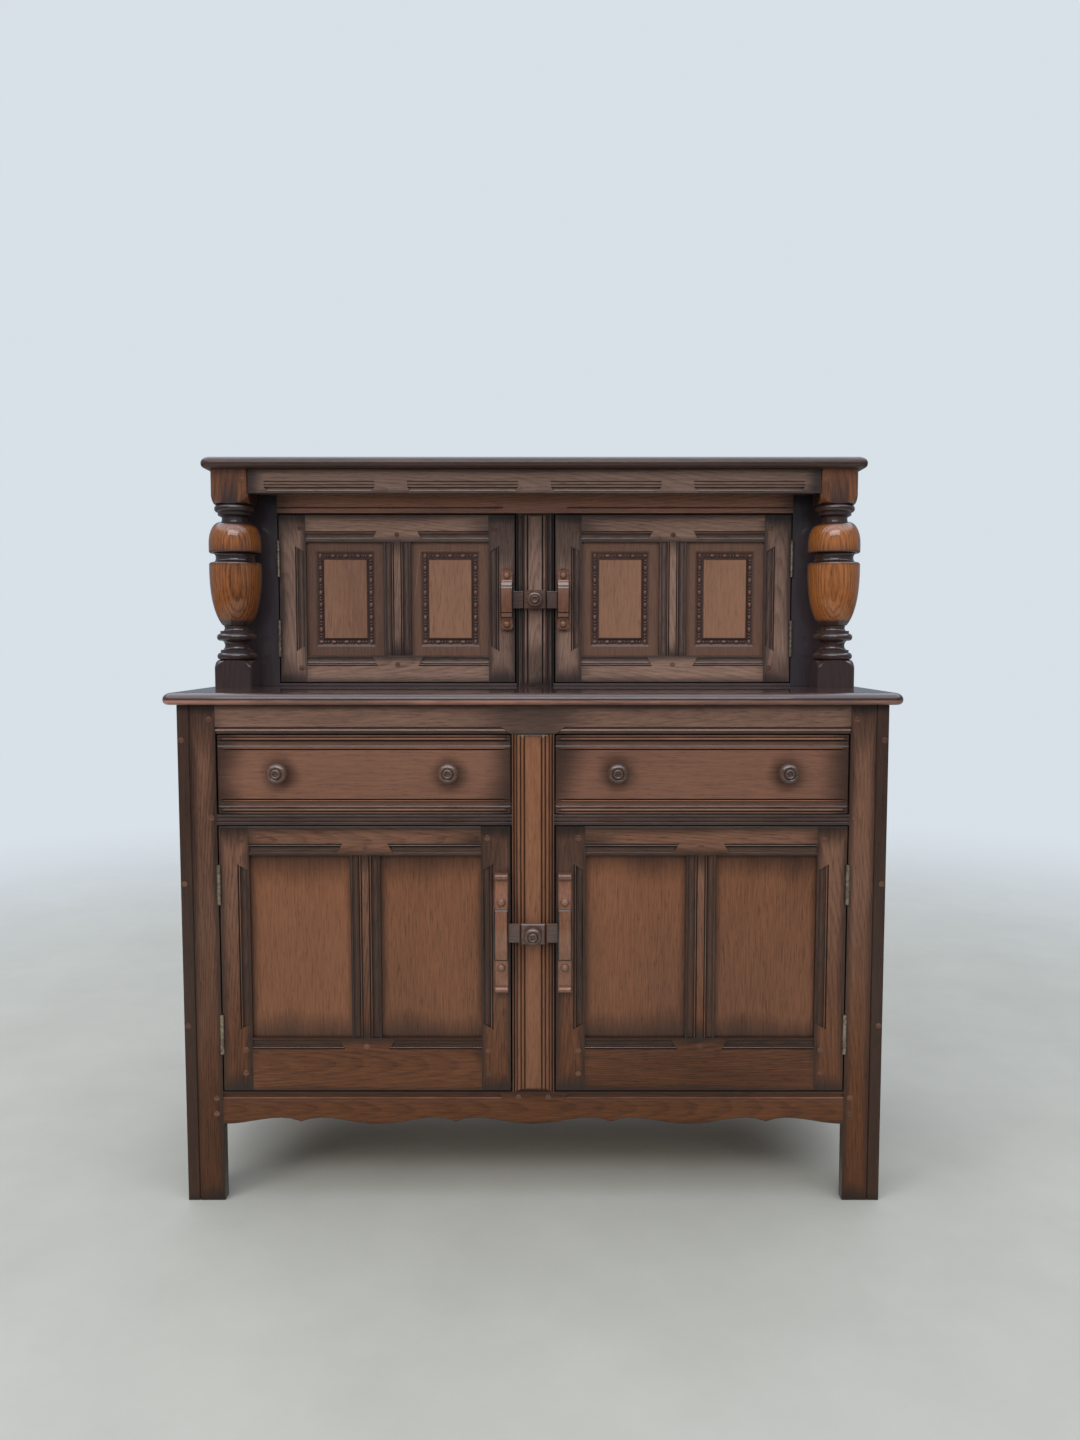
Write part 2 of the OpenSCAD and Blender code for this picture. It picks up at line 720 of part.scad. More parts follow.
// The bevel at a pilaster's end at height z, dir towards the end. It is wider there, up to the
// outer reeds.
module pilaster_bevel(y, z, dir) {
  l = pilaster_bevel_l;
  d = pilaster_bevel_d;
  inner = pilaster_x - reed_w;
  widen = 0.75 * reed_w / l;
  past = over * l / d + over;
  intersection() {
    along_x(-pilaster_x, pilaster_x, [[y - over, z - dir * l * (1 + over / d)],
      [y + d * (1 + over / l), z + dir * over], [y - over, z + dir * over]]);
    along_y(y - 2 * over, y + mask_d, [
      [-inner + widen * past, z - dir * (l + past)], [inner - widen * past, z - dir * (l + past)],
      [inner + widen * (l + over), z + dir * over], [-inner - widen * (l + over), z + dir * over]]);
  }
}

module pilaster(y, z0, z1, latch_z) {
  difference() {
    board(-pilaster_x, pilaster_x, y, y + face_t, z0, z1);
    both_sides() reeding_cut(pilaster_x - reed_w, y, z0 - over, z1 + over);
    pilaster_bevel(y, z0, -1);
    pilaster_bevel(y, z1, 1);
    translate([0, y - over, latch_z]) rotate([-90, 0, 0])
      cylinder(h = face_t + 2 * over, r = spindle_r + spindle_fit);
  }
}

module lower_pilaster() color(oak) {
  pilaster(face_y, apron_top, top_rail_z, lower_latch_height);
  pilaster_tenon(apron_top, -1, face_y, 0);
  pilaster_tenon(top_rail_z, 1, face_y, 0);
}

module upper_pilaster() color(oak) {
  pilaster(recess_y, counter_z, head_rail_z, upper_latch_height);
  pilaster_tenon(head_rail_z, 1, recess_y, 0);
}

// Inside of the lower cupboard
inside_y = face_y + face_t;
back_panel_y = back_y - back_t;

module cupboard_floor() color(inside_wood)
  board(-side_in_x, side_in_x, inside_y, back_panel_y, apron_top - shelf_t, apron_top);

module cupboard_back() color(inside_wood)
  board(-side_in_x, side_in_x, back_panel_y, back_y, apron_top - shelf_t, carcass_h);

shelf_z = apron_top + shelf_rise;

module cupboard_shelf() color(inside_wood)
  board(-side_in_x + fit, side_in_x - fit, back_panel_y - shelf_d, back_panel_y, shelf_z, shelf_z + shelf_t);

module shelf_bearers() color(inside_wood) both_sides()
  board(side_in_x - bearer_w, side_in_x, back_panel_y - shelf_d, back_panel_y, shelf_z - bearer_w, shelf_z);

// Runners carry the drawers and guide them; kickers above stop them tipping
module drawer_runners() color(inside_wood) {
  runner_top = drawer_z - run_gap;
  guide_top = drawer_z + drawer_rail_h;
  guide_x = lower_door_x - drawer_side_inset + run_gap;
  centre_guide_x = door_in_x + drawer_side_inset - run_gap;
  both_sides() {
    board(side_in_x - runner_w, side_in_x, inside_y, back_panel_y, drawer_rail_z, runner_top);
    board(guide_x, side_in_x, inside_y, back_panel_y, runner_top, guide_top);
    board(side_in_x - runner_w, side_in_x, inside_y, back_panel_y, top_rail_z, top_rail_z + kicker_h);
  }
  board(-centre_runner_w / 2, centre_runner_w / 2, inside_y, back_panel_y, drawer_rail_z, runner_top);
  board(-centre_guide_x, centre_guide_x, inside_y, back_panel_y, runner_top, guide_top);
  board(-centre_runner_w / 2, centre_runner_w / 2, inside_y, back_panel_y, top_rail_z, top_rail_z + kicker_h);
}

// A ring moulding: a rounded bead of the given radius
function ring(z, r) = ellipse(r - ring_h * 0.45, z + ring_h / 2, ring_h * 0.45, ring_h / 2, -90, 90, 8);

// Turned column: square blocks at both ends, rings, a cup and its cover
module column() {
  half = block_w / 2;
  c = block_chamfer;
  corner_r = norm([half, half]) + over;
  shoulder_r = half - 3;
  z0 = base_block_h;
  fillet_r = neck_r + 7;
  ring2_z = z0 + ring_h + fillet_h + cove_h;
  cup_z = ring2_z + ring_h + fillet_h + low_neck_h;
  turned_top = upper_h - top_block_h;
  ring1_z = turned_top - ring_h;
  cover_top = ring1_z - fillet_h - high_neck_h;
  cover_z = cover_top - cover_h;
  rim_z = cover_z - waist_h;
  cup_h = rim_z - cup_z;
  turned = concat(
    [[0, z0 - over], [ring_r - 6, z0 - over]],
    ring(z0, ring_r),
    [[fillet_r, z0 + ring_h], [fillet_r, z0 + ring_h + fillet_h]],
    ellipse(neck_r + 5, z0 + ring_h + fillet_h + cove_h / 2, 6, cove_h / 2, 270, 90, 8),
    ring(ring2_z, ring_r),
    [[fillet_r, ring2_z + ring_h], [fillet_r, ring2_z + ring_h + fillet_h]],
    ellipse(neck_r + 3, cup_z - low_neck_h / 2, 4, low_neck_h / 2, 270, 90, 6),
    curve([neck_r + 3.5, cup_z + 1], [bulb_r - 8, cup_z + 0.16 * cup_h],
      [bulb_r + 0.5, cup_z + 0.44 * cup_h], [bulb_r, cup_z + 0.93 * cup_h], 14),
    ellipse(bulb_r - 4, rim_z - 4, 4, 4, 0, 90, 4),
    [[bulb_r - 9, rim_z]],
    ellipse(bulb_r - 8, (rim_z + cover_z) / 2, 4, waist_h / 2 - 1, 270, 90, 6),
    [[bulb_r - 9, cover_z]],
    ellipse(bulb_r - 3, cover_z + 4, 3, 4, 270, 360, 4),
    ellipse(neck_r + 4, cover_z + 0.3 * cover_h, bulb_r - neck_r - 4, 0.7 * cover_h, 0, 90, 10),
    [[neck_r + 1, cover_top], [neck_r, cover_top + high_neck_h * 0.4], [neck_r, cover_top + high_neck_h * 0.7],
      [fillet_r, ring1_z - fillet_h], [fillet_r, ring1_z]],
    ring(ring1_z, ring_r),
    [[ring_r - 6, turned_top + over], [0, turned_top + over]]
  );
  rotate_extrude() polygon(turned);
  column_pin(0);
  intersection() {
    block_prism(half, c, 0, base_block_h);
    rotate_extrude() polygon(concat([[0, 0], [corner_r, 0]],
      ellipse(shoulder_r, base_block_h - shoulder_h, corner_r - shoulder_r, shoulder_h, 0, 90, 8),
      [[0, base_block_h]]));
  }
  intersection() {
    block_prism(half, c, turned_top, upper_h);
    rotate_extrude() polygon(concat([[0, turned_top]],
      ellipse(shoulder_r, turned_top + shoulder_h, corner_r - shoulder_r, shoulder_h, 270, 360, 8),
      [[corner_r, upper_h], [0, upper_h]]));
  }
}

// A square block with chamfered edges
module block_prism(half, c, z0, z1) {
  along_z(z0, z1, [[-half + c, -half], [half - c, -half], [half, -half + c], [half, half - c],
    [half - c, half], [-half + c, half], [-half, half - c], [-half, -half + c]]);
}

module right_column() color(turned_oak)
  translate([column_x, block_y + block_w / 2, counter_z]) column();

module left_column() color(turned_oak)
  translate([-column_x, block_y + block_w / 2, counter_z]) column();

// Canopy: a frieze between the columns' upper blocks, and a rail back along each side
module frieze_grooves() {
  span = 2 * (block_x - block_w);
  pitch = span / frieze_groups;
  for (i = [0:frieze_groups - 1]) {
    middle = -span / 2 + pitch * (i + 0.5);
    x0 = middle - frieze_group_l / 2;
    x1 = middle + frieze_group_l / 2;
    v_groove_x(x0, x1, block_y, frieze_z + 0.48 * frieze_h, 2.6);
    v_groove_x(x0, x1, block_y, frieze_z + 0.35 * frieze_h, 2.6);
    frieze_cove(x0, x1, frieze_z + 0.06 * frieze_h, frieze_z + 0.27 * frieze_h);
  }
}

// The hollow under those grooves, with ends that slant in towards the frieze's lower edge
module frieze_cove(x0, x1, z0, z1) {
  h = z1 - z0;
  intersection() {
    along_x(x0, x1, concat(ellipse(block_y, (z0 + z1) / 2, 4, h / 2, 90, -90, 6),
      [[block_y - over, z0], [block_y - over, z1]]));
    along_y(block_y - 2 * over, block_y + mask_d, [for (p = stops(x0, x1, 0.8, 0.8, h)) [p[0], z1 - p[1]]]);
  }
}

module canopy_rails() color(oak) {
  frieze_x = block_x - block_w;
  difference() {
    board(-frieze_x, frieze_x, block_y, block_y + frieze_t, frieze_z, canopy_z);
    frieze_grooves();
  }
  both_sides() board(upper_side_x, block_x, block_y + block_w, back_y, frieze_z, canopy_z);
}

// Upper cupboard
module upper_sides() color(oak) both_sides()
  board(upper_side_x - upper_side_t, upper_side_x, recess_y + face_t, back_y, counter_z, canopy_z);

module upper_back() color(inside_wood)
  board(upper_side_t - upper_side_x, upper_side_x - upper_side_t, back_panel_y, back_y, counter_z, canopy_z);

module recess_stiles() color(dark_oak) both_sides() difference() {
  board(recess_open_x, upper_side_x, recess_y, recess_y + face_t, counter_z, canopy_z);
  knuckle_room(upper_pin_x, recess_y, upper_hinges);
}

module recess_rails() color(oak) {
  difference() {
    board(-recess_open_x, recess_open_x, recess_y, recess_y + face_t, head_rail_z, canopy_z);
    both_sides() v_groove_x(pilaster_x + apron_stop, recess_open_x, recess_y, head_rail_z + 11, 4);
    pilaster_tenon(head_rail_z, 1, recess_y, fit);
  }
  both_sides() board(pilaster_x, recess_open_x, recess_y, recess_y + face_t, counter_z, sill_z);
}

// Framed doors. Each module draws the right-hand door; the left one is its mirror.
// x0 and x1 are the free and the hinged edge, y the face, z0 and z1 the ends.
module door_stiles(x0, x1, y, z0, z1, muntin_w, top_h, bottom_h, stop, latch_z, pin_x, hinges) {
  open0 = x0 + door_stile_w;
  open1 = x1 - door_stile_w;
  panel0 = z0 + bottom_h;
  panel1 = z1 - top_h;
  middle = (open0 + open1) / 2;
  difference() {
    union() {
      board(x0, open0, y, y + door_t, z0, z1);
      board(open1, x1, y, y + door_t, z0, z1);
      board(middle - muntin_w / 2, middle + muntin_w / 2, y, y + door_t, panel0, panel1);
      muntin_tenons(middle, y, panel0, panel1, muntin_w, 0);
    }
    mould_z(open0 - mould_w, 1, y, panel0 + stop, panel1 - stop, stop_slant);
    mould_z(open1 + mould_w, -1, y, panel0 + stop, panel1 - stop, stop_slant);
    mould_z(middle - muntin_w / 2 + mould_w, -1, y, panel0 - over, panel1 + over, 0);
    mould_z(middle + muntin_w / 2 - mould_w, 1, y, panel0 - over, panel1 + over, 0);
    door_panel_boards(open0, open1, y, panel0, panel1, muntin_w, fit);
    door_tenons(open0, open1, y, z0, panel0, fit);
    door_tenons(open0, open1, y, panel1, z1, fit);
    board(x0 - over, x0 + tongue_tail + handle_inset, y - over, y + tongue_let_in,
      z0 + latch_z - tongue_h / 2, z0 + latch_z + tongue_h / 2);
    knuckle_room(pin_x, y, hinges);
  }
}

module door_tenons(open0, open1, y, z0, z1, grow) {
  middle_y = y + panel_set + panel_t / 2;
  board(open0 - tenon_l - grow, open1 + tenon_l + grow, middle_y - tenon_t / 2 - grow,
    middle_y + tenon_t / 2 + grow, z0 + tenon_shoulder - grow, z1 - tenon_shoulder + grow);
}

// Stub tenons of a muntin, between the grooves for the two panels
module muntin_tenons(middle, y, panel0, panel1, muntin_w, grow) {
  half = muntin_w / 2 - panel_groove - small_shoulder;
  deep = panel_groove - fit;
  board(middle - half - grow, middle + half + grow, y + panel_set - grow, y + panel_set + panel_t + grow,
    panel0 - deep - grow, panel1 + deep + grow);
}

module door_rails(x0, x1, y, z0, z1, muntin_w, top_h, bottom_h) {
  open0 = x0 + door_stile_w;
  open1 = x1 - door_stile_w;
  panel0 = z0 + bottom_h;
  panel1 = z1 - top_h;
  middle = (open0 + open1) / 2;
  difference() {
    union() {
      board(open0, open1, y, y + door_t, z0, panel0);
      door_tenons(open0, open1, y, z0, panel0, 0);
      board(open0, open1, y, y + door_t, panel1, z1);
      door_tenons(open0, open1, y, panel1, z1, 0);
    }
    for (edge = [[panel0 - mould_w, 1], [panel1 + mould_w, -1]]) {
      mould_x(edge[0], edge[1], y, open0, middle - muntin_w / 2 - rail_stop, 0, stop_slant);
      mould_x(edge[0], edge[1], y, middle + muntin_w / 2 + rail_stop, open1, stop_slant, 0);
    }
    door_panel_boards(open0, open1, y, panel0, panel1, muntin_w, fit);
    muntin_tenons(middle, y, panel0, panel1, muntin_w, fit);
  }
}

// The two panels of a door, held in grooves all round
module door_panel_boards(open0, open1, y, panel0, panel1, muntin_w, grow) {
  middle = (open0 + open1) / 2;
  deep = panel_groove - fit;
  for (span = [[open0, middle - muntin_w / 2], [middle + muntin_w / 2, open1]])
    board(span[0] - deep - grow, span[1] + deep + grow, y + panel_set - grow,
      y + panel_set + panel_t + grow, panel0 - deep - grow, panel1 + deep + grow);
}

// A block that is x0..x1 by z0..z1 at y and comes in by slope at the given depth. It runs on
// past y, and by over less past that depth.
module tapered(x0, x1, z0, z1, y, depth, slope, past) {
  y0 = y - past;
  y1 = y + depth + past - over;
  in0 = -slope * past / depth;
  in1 = slope * (depth + past - over) / depth;
  intersection() {
    along_x(x0 - border_w, x1 + border_w, [[y0, z0 + in0], [y1, z0 + in1], [y1, z1 - in1], [y0, z1 - in0]]);
    along_z(z0 - border_w, z1 + border_w, [[x0 + in0, y0], [x0 + in1, y1], [x1 - in1, y1], [x1 - in0, y0]]);
  }
}

// The channel for the carved border of an upper panel, with sloping sides round a level field
module panel_channel(x0, x1, y, z0, z1) {
  m = border_margin;
  n = m + border_w;
  difference() {
    tapered(x0 + m, x1 - m, z0 + m, z1 - m, y, border_depth, border_slope, over);
    tapered(x0 + n, x1 - n, z0 + n, z1 - n, y, border_depth, -0.8 * border_slope, 2 * over);
  }
}

// A lower door, and an upper door
module lower_door_stiles() color(oak)
  door_stiles(door_in_x, lower_door_x, face_y, lower_door_z, lower_door_z + lower_door_h, lower_muntin_w,
    lower_top_rail_h, lower_bottom_rail_h, lower_stile_stop, lower_latch_z, lower_pin_x, lower_hinges);

module lower_door_rails() color(oak)
  door_rails(door_in_x, lower_door_x, face_y, lower_door_z, lower_door_z + lower_door_h, lower_muntin_w,
    lower_top_rail_h, lower_bottom_rail_h);

module lower_door_panels() color(oak)
  door_panel_boards(door_in_x + door_stile_w, lower_door_x - door_stile_w, face_y,
    lower_door_z + lower_bottom_rail_h, lower_door_z + lower_door_h - lower_top_rail_h, lower_muntin_w, 0);

module upper_door_stiles() color(dark_oak)
  door_stiles(door_in_x, upper_door_x, recess_y, upper_door_z, upper_door_z + upper_door_h, upper_muntin_w,
    upper_rail_h, upper_rail_h, upper_stile_stop, upper_latch_z, upper_pin_x, upper_hinges);

module upper_door_rails() color(dark_oak)
  door_rails(door_in_x, upper_door_x, recess_y, upper_door_z, upper_door_z + upper_door_h, upper_muntin_w,
    upper_rail_h, upper_rail_h);

module upper_door_panels() color(pale_oak) {
  open0 = door_in_x + door_stile_w;
  open1 = upper_door_x - door_stile_w;
  z0 = upper_door_z + upper_rail_h;
  z1 = upper_door_z + upper_door_h - upper_rail_h;
  middle = (open0 + open1) / 2;
  difference() {
    door_panel_boards(open0, open1, recess_y, z0, z1, upper_muntin_w, 0);
    panel_channel(open0, middle - upper_muntin_w / 2, recess_y + panel_set, z0, z1);
    panel_channel(middle + upper_muntin_w / 2, open1, recess_y + panel_set, z0, z1);
  }
}

module lower_door_hinges() color(brass) for (z = lower_hinges) door_leaf(lower_pin_x, face_y, z);
module upper_door_hinges() color(brass) for (z = upper_hinges) door_leaf(upper_pin_x, recess_y, z);

// Upper half of a handle's outer edge over its arch, as [y, height above the middle]
function arch_back(y, arch) = [for (i = [0:6]) [y + arch_fall * pow(i / 6, 2), arch * i / 6]];

// Lower handle, side on: a lip and a hollow foot at each end, and a proud arch between
module lower_handle_at(y, z) {
  half = lower_handle_l / 2;
  arch = lower_arch_l / 2;
  grip = arch - grip_end;
  foot_l = half - arch;
  foot = y - foot_proud;
  lip = y - lip_proud + lip_h / 3;
  upper_half = concat(
    arch_back(y - handle_proud, arch),
    curve([foot - 11, arch], [foot - 10, arch + 0.35 * foot_l],
      [foot - 1, arch + 0.5 * foot_l], [foot, half - lip_h], 8),
    [[lip, half - lip_h]],
    ellipse(lip, half - lip_h / 2, lip_h / 3, lip_h / 2 - 1, 270, 90, 6),
    [[foot, half], [y, half], [y, grip + grip_round]],
    ellipse(y, grip, finger_gap, grip_round, 90, 180, 6),
    [[y - finger_gap, 0]]
  );
  lower_half = reversed([for (p = upper_half) if (p[1] > 0) [p[0], -p[1]]]);
  translate([0, 0, z]) along_x(handle_x, handle_x + handle_w, concat(upper_half, lower_half));
}

// Upper handle: two pads with round ends, and a proud arch between them
module upper_handle_at(y, z) {
  half = upper_handle_l / 2;
  arch = upper_arch_l / 2;
  grip = arch - grip_end;
  foot = y - foot_proud;
  upper_half = concat(
    arch_back(y - handle_proud + arch_fall, arch),
    [[foot - 2, arch + 2], [foot, arch + 5], [foot, half - 3], [foot + 3, half], [y, half],
      [y, grip + grip_round]],
    ellipse(y, grip, upper_finger_gap, grip_round, 90, 180, 6),
    [[y - upper_finger_gap, 0]]
  );
  lower_half = reversed([for (p = upper_half) if (p[1] > 0) [p[0], -p[1]]]);
  middle = handle_x + handle_w / 2;
  intersection() {
    translate([0, 0, z]) along_x(handle_x, handle_x + handle_w, concat(upper_half, lower_half));
    union() {
      board(handle_x, handle_x + handle_w, y - 2 * handle_proud, y + over,
        z - half + handle_w / 2, z + half - handle_w / 2);
      for (end = [z - half + handle_w / 2, z + half - handle_w / 2])
        translate([middle, y + over, end]) rotate([90, 0, 0]) cylinder(h = 2 * handle_proud, r = handle_w / 2);
    }
  }
}

module lower_handle() color(dark_oak) lower_handle_at(face_y, lower_latch_height);
module upper_handle() color(dark_oak) upper_handle_at(recess_y, upper_latch_height);

// Catch: a tongue that laps over the pilaster, with its tail let into the door's stile
module catch_tongue(y, z) {
  z0 = z - tongue_h / 2;
  z1 = z + tongue_h / 2;
  board(tongue_tip_x, handle_x, y - tongue_front, y - tongue_back, z0, z1);
  board(door_in_x, handle_x, y - tongue_front, y + tongue_let_in, z0, z1);
  board(door_in_x, door_in_x + tongue_tail + handle_inset, y, y + tongue_let_in, z0, z1);
}

module lower_catch() color(dark_oak) catch_tongue(face_y, lower_latch_height);
module upper_catch() color(dark_oak) catch_tongue(recess_y, upper_latch_height);

// Turning block: turned corner-on, it laps over the tongues on both sides
module turn_block(y, z) {
  w = turn_block_w / 2;
  h = turn_block_h / 2;
  c = 2;
  translate([0, y, z]) difference() {
    union() {
      intersection() {
        along_x(-w, w, [[-turn_block_back, -h], [-turn_block_front + c, -h], [-turn_block_front, -h + c],
          [-turn_block_front, h - c], [-turn_block_front + c, h], [-turn_block_back, h]]);
        along_z(-h, h, [[-w, -turn_block_back], [-w, -turn_block_front + c], [-w + c, -turn_block_front],
          [w - c, -turn_block_front], [w, -turn_block_front + c], [w, -turn_block_back]]);
      }
      rotate([90, 0, 0]) translate([0, 0, keeper_gap])
        cylinder(h = turn_block_back, r = spindle_r + 8);
    }
    rotate([90, 0, 0]) translate([0, 0, -over]) cylinder(h = turn_block_front + 2 * over, r = spindle_r);
  }
}

// A turned knob along Z from its seat: a neck, a dished face with a raised ring, and a dimple
module turned_knob(r, l, neck) {
  rotate_extrude() polygon(concat(
    [[0, 0], [neck + 2, 0], [neck, 0.12 * l], [neck, 0.25 * l]],
    ellipse(r - 0.28 * l, 0.55 * l, 0.28 * l, 0.3 * l, 270, 450, 10),
    [[0.62 * r, 0.87 * l], [0.52 * r, 0.83 * l]],
    ellipse(0.36 * r, 0.86 * l, 0.14 * r, 0.14 * l, 0, 180, 6),
    [[0.18 * r, 0.86 * l], [0, 0.82 * l]]
  ));
}

// Latch knob with its spindle, and the keeper on the spindle's inner end
module latch_knob(y, z) {
  keeper_y = face_t + keeper_gap;
  translate([0, y, z]) {
    rotate([90, 0, 0]) translate([0, 0, turn_block_front])
      turned_knob(latch_knob_r, latch_knob_l, spindle_r + 3);
    rotate([90, 0, 0]) translate([0, 0, -keeper_y - keeper_t])
      cylinder(h = keeper_y + keeper_t + turn_block_front + over, r = spindle_r);
    rotate([90, 0, 0]) translate([0, 0, -keeper_y - keeper_t]) cylinder(h = keeper_t, r = keeper_r);
  }
}

module lower_turn_block() color(dark_oak) turn_block(face_y, lower_latch_height);
module upper_turn_block() color(dark_oak) turn_block(recess_y, upper_latch_height);
module lower_turn_knob() color(dark_oak) latch_knob(face_y, lower_latch_height);
module upper_turn_knob() color(dark_oak) latch_knob(recess_y, upper_latch_height);

// Drawers. The front has a moulding along its top and bottom and a bevel at its ends. From the
// edge the moulding is a fillet, a quirk, a bead, a quirk, a cove, a fillet and a quirk.
function drawer_mould() = concat(
  [[0, 0.8], [2.6, 0.8], [3.2, 2.6], [4.2, 2.6]],
  ellipse(6.3, 2, 1.9, 1.6, 180, 360, 6),
  [[8.5, 3.2], [9.5, 3.2]],
  ellipse(15.2, 1, 5.3, 3, 180, 0, 8),
  [[20.9, 0.6], [22.6, 0.6], [23, 2.4], [24, 2.4], [24.4, 0]]
);

module drawer_front() color(oak) {
  x0 = door_in_x;
  x1 = lower_door_x;
  z0 = drawer_z;
  z1 = drawer_z + drawer_h;
  back = face_y + face_t;
  difference() {
    intersection() {
      along_x(x0, x1, concat([[back, z0]], [for (p = drawer_mould()) [face_y + p[1], z0 + p[0]]],
        reversed([for (p = drawer_mould()) [face_y + p[1], z1 - p[0]]]), [[back, z1]]));
      along_z(z0, z1, [[x0, back], [x0, face_y + end_bevel_d], [x0 + end_bevel_w, face_y],
        [x1 - end_bevel_w, face_y], [x1, face_y + end_bevel_d], [x1, back]]);
    }
    drawer_side_boards(fit);
    drawer_bottom_board(fit);
  }
}

module drawer_side_boards(grow) {
  z0 = drawer_z;
  for (x = [door_in_x + drawer_side_inset, lower_door_x - drawer_side_inset - drawer_side_t])
    board(x - grow, x + drawer_side_t + grow, face_y + face_t - drawer_lap - grow,
      face_y + face_t + drawer_box_l, z0 - grow, z0 + drawer_side_h + grow);
}

module drawer_bottom_board(grow) {
  z = drawer_z + drawer_bottom_rise;
  inset = drawer_side_inset + drawer_side_t / 2;
  board(door_in_x + inset - grow, lower_door_x - inset + grow, face_y + face_t - drawer_lap / 2 - grow,
    face_y + face_t + drawer_box_l - 1, z - grow, z + drawer_bottom_t + grow);
}

module drawer_sides() color(inside_wood) {
  difference() {
    drawer_side_boards(0);
    drawer_bottom_board(fit);
  }
  inset = drawer_side_inset + drawer_side_t + fit;
  back = face_y + face_t + drawer_box_l;
  board(door_in_x + inset, lower_door_x - inset, back - drawer_side_t, back,
    drawer_z + drawer_bottom_rise + drawer_bottom_t + fit, drawer_z + drawer_side_h - drawer_back_drop);
}

module drawer_bottom() color(inside_wood) drawer_bottom_board(0);

module drawer_knobs() color(dark_oak) {
  middle = (door_in_x + lower_door_x) / 2;
  for (side = [-1, 1])
    translate([middle + side * knob_spacing / 2, face_y, drawer_z + drawer_h / 2 + knob_rise])
      rotate([90, 0, 0]) turned_knob(knob_r, knob_l, knob_r / 2);
}

lower_top();
side_frames();
side_panels();
face_stiles();
top_rail();
drawer_rails();
apron();
lower_pilaster();
cupboard_floor();
cupboard_back();
cupboard_shelf();
shelf_bearers();
drawer_runners();
left_column();
right_column();
canopy_rails();
upper_top();
upper_sides();
upper_back();
recess_stiles();
recess_rails();
upper_pilaster();
frame_hinge_leaves();
left_side() lower_door_stiles();  // left_lower_door_stiles
left_side() lower_door_rails();  // left_lower_door_rails
left_side() lower_door_panels();  // left_lower_door_panels
left_side() lower_handle();  // left_lower_handle
left_side() lower_catch();  // left_lower_catch
left_side() lower_door_hinges();  // left_lower_hinges
lower_door_stiles();  // right_lower_door_stiles
lower_door_rails();  // right_lower_door_rails
lower_door_panels();  // right_lower_door_panels
lower_handle();  // right_lower_handle
lower_catch();  // right_lower_catch
lower_door_hinges();  // right_lower_hinges
left_side() upper_door_stiles();  // left_upper_door_stiles
left_side() upper_door_rails();  // left_upper_door_rails
left_side() upper_door_panels();  // left_upper_door_panels
left_side() upper_handle();  // left_upper_handle
left_side() upper_catch();  // left_upper_catch
left_side() upper_door_hinges();  // left_upper_hinges
upper_door_stiles();  // right_upper_door_stiles
upper_door_rails();  // right_upper_door_rails
upper_door_panels();  // right_upper_door_panels
upper_handle();  // right_upper_handle
upper_catch();  // right_upper_catch
upper_door_hinges();  // right_upper_hinges
lower_turn_block();
lower_turn_knob();
upper_turn_block();
upper_turn_knob();
left_side() drawer_front();  // left_drawer_front
left_side() drawer_sides();  // left_drawer_sides
left_side() drawer_bottom();  // left_drawer_bottom
left_side() drawer_knobs();  // left_drawer_knobs
drawer_front();  // right_drawer_front
drawer_sides();  // right_drawer_sides
drawer_bottom();  // right_drawer_bottom
drawer_knobs();  // right_drawer_knobs
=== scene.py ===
"""Looks of the kitchen dresser: its finishes, carving, pegs and screws, and the studio round it.

Lengths are in metres in the part's own frame: +Z up, +X the viewer's right, -Y the front.
"""

import sys

import logging
import math
import random
from dataclasses import dataclass, field
from enum import Enum
from typing import Callable, Iterable, Iterator, Sequence

import bmesh
import bpy
from mathutils import Matrix, Vector
from mathutils.bvhtree import BVHTree
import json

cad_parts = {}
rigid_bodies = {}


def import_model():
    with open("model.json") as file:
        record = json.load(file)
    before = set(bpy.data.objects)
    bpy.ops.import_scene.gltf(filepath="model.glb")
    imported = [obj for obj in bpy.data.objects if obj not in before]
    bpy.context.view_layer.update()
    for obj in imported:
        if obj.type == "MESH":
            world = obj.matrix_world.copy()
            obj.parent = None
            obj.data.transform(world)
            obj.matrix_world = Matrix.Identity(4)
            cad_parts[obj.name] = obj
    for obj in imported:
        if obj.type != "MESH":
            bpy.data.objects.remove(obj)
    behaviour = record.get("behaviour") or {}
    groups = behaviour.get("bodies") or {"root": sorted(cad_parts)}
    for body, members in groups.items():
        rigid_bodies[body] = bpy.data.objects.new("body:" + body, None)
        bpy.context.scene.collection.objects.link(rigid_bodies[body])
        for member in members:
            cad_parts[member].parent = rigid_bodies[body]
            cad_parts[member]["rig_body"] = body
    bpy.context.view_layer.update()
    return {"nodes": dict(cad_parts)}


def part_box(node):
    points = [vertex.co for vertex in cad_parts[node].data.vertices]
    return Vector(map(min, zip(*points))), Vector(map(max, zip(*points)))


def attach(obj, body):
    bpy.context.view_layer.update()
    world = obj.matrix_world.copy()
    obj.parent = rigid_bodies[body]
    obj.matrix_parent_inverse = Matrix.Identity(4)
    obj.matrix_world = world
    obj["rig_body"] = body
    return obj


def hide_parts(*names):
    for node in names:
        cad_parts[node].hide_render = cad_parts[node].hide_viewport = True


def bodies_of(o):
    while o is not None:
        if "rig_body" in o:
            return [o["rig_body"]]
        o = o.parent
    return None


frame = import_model()

LOG = logging.getLogger("dresser")
MM = 0.001
SIDES = ((-1, "left"), (1, "right"))
LEVELS = ("lower", "upper")
WELD = 0.001 * MM
Colour = tuple[float, float, float, float]
Plan = tuple[float, float]
Triple = tuple[float, float, float]
Shade = float | Callable[[Vector], float]
BMesh = bmesh.types.BMesh


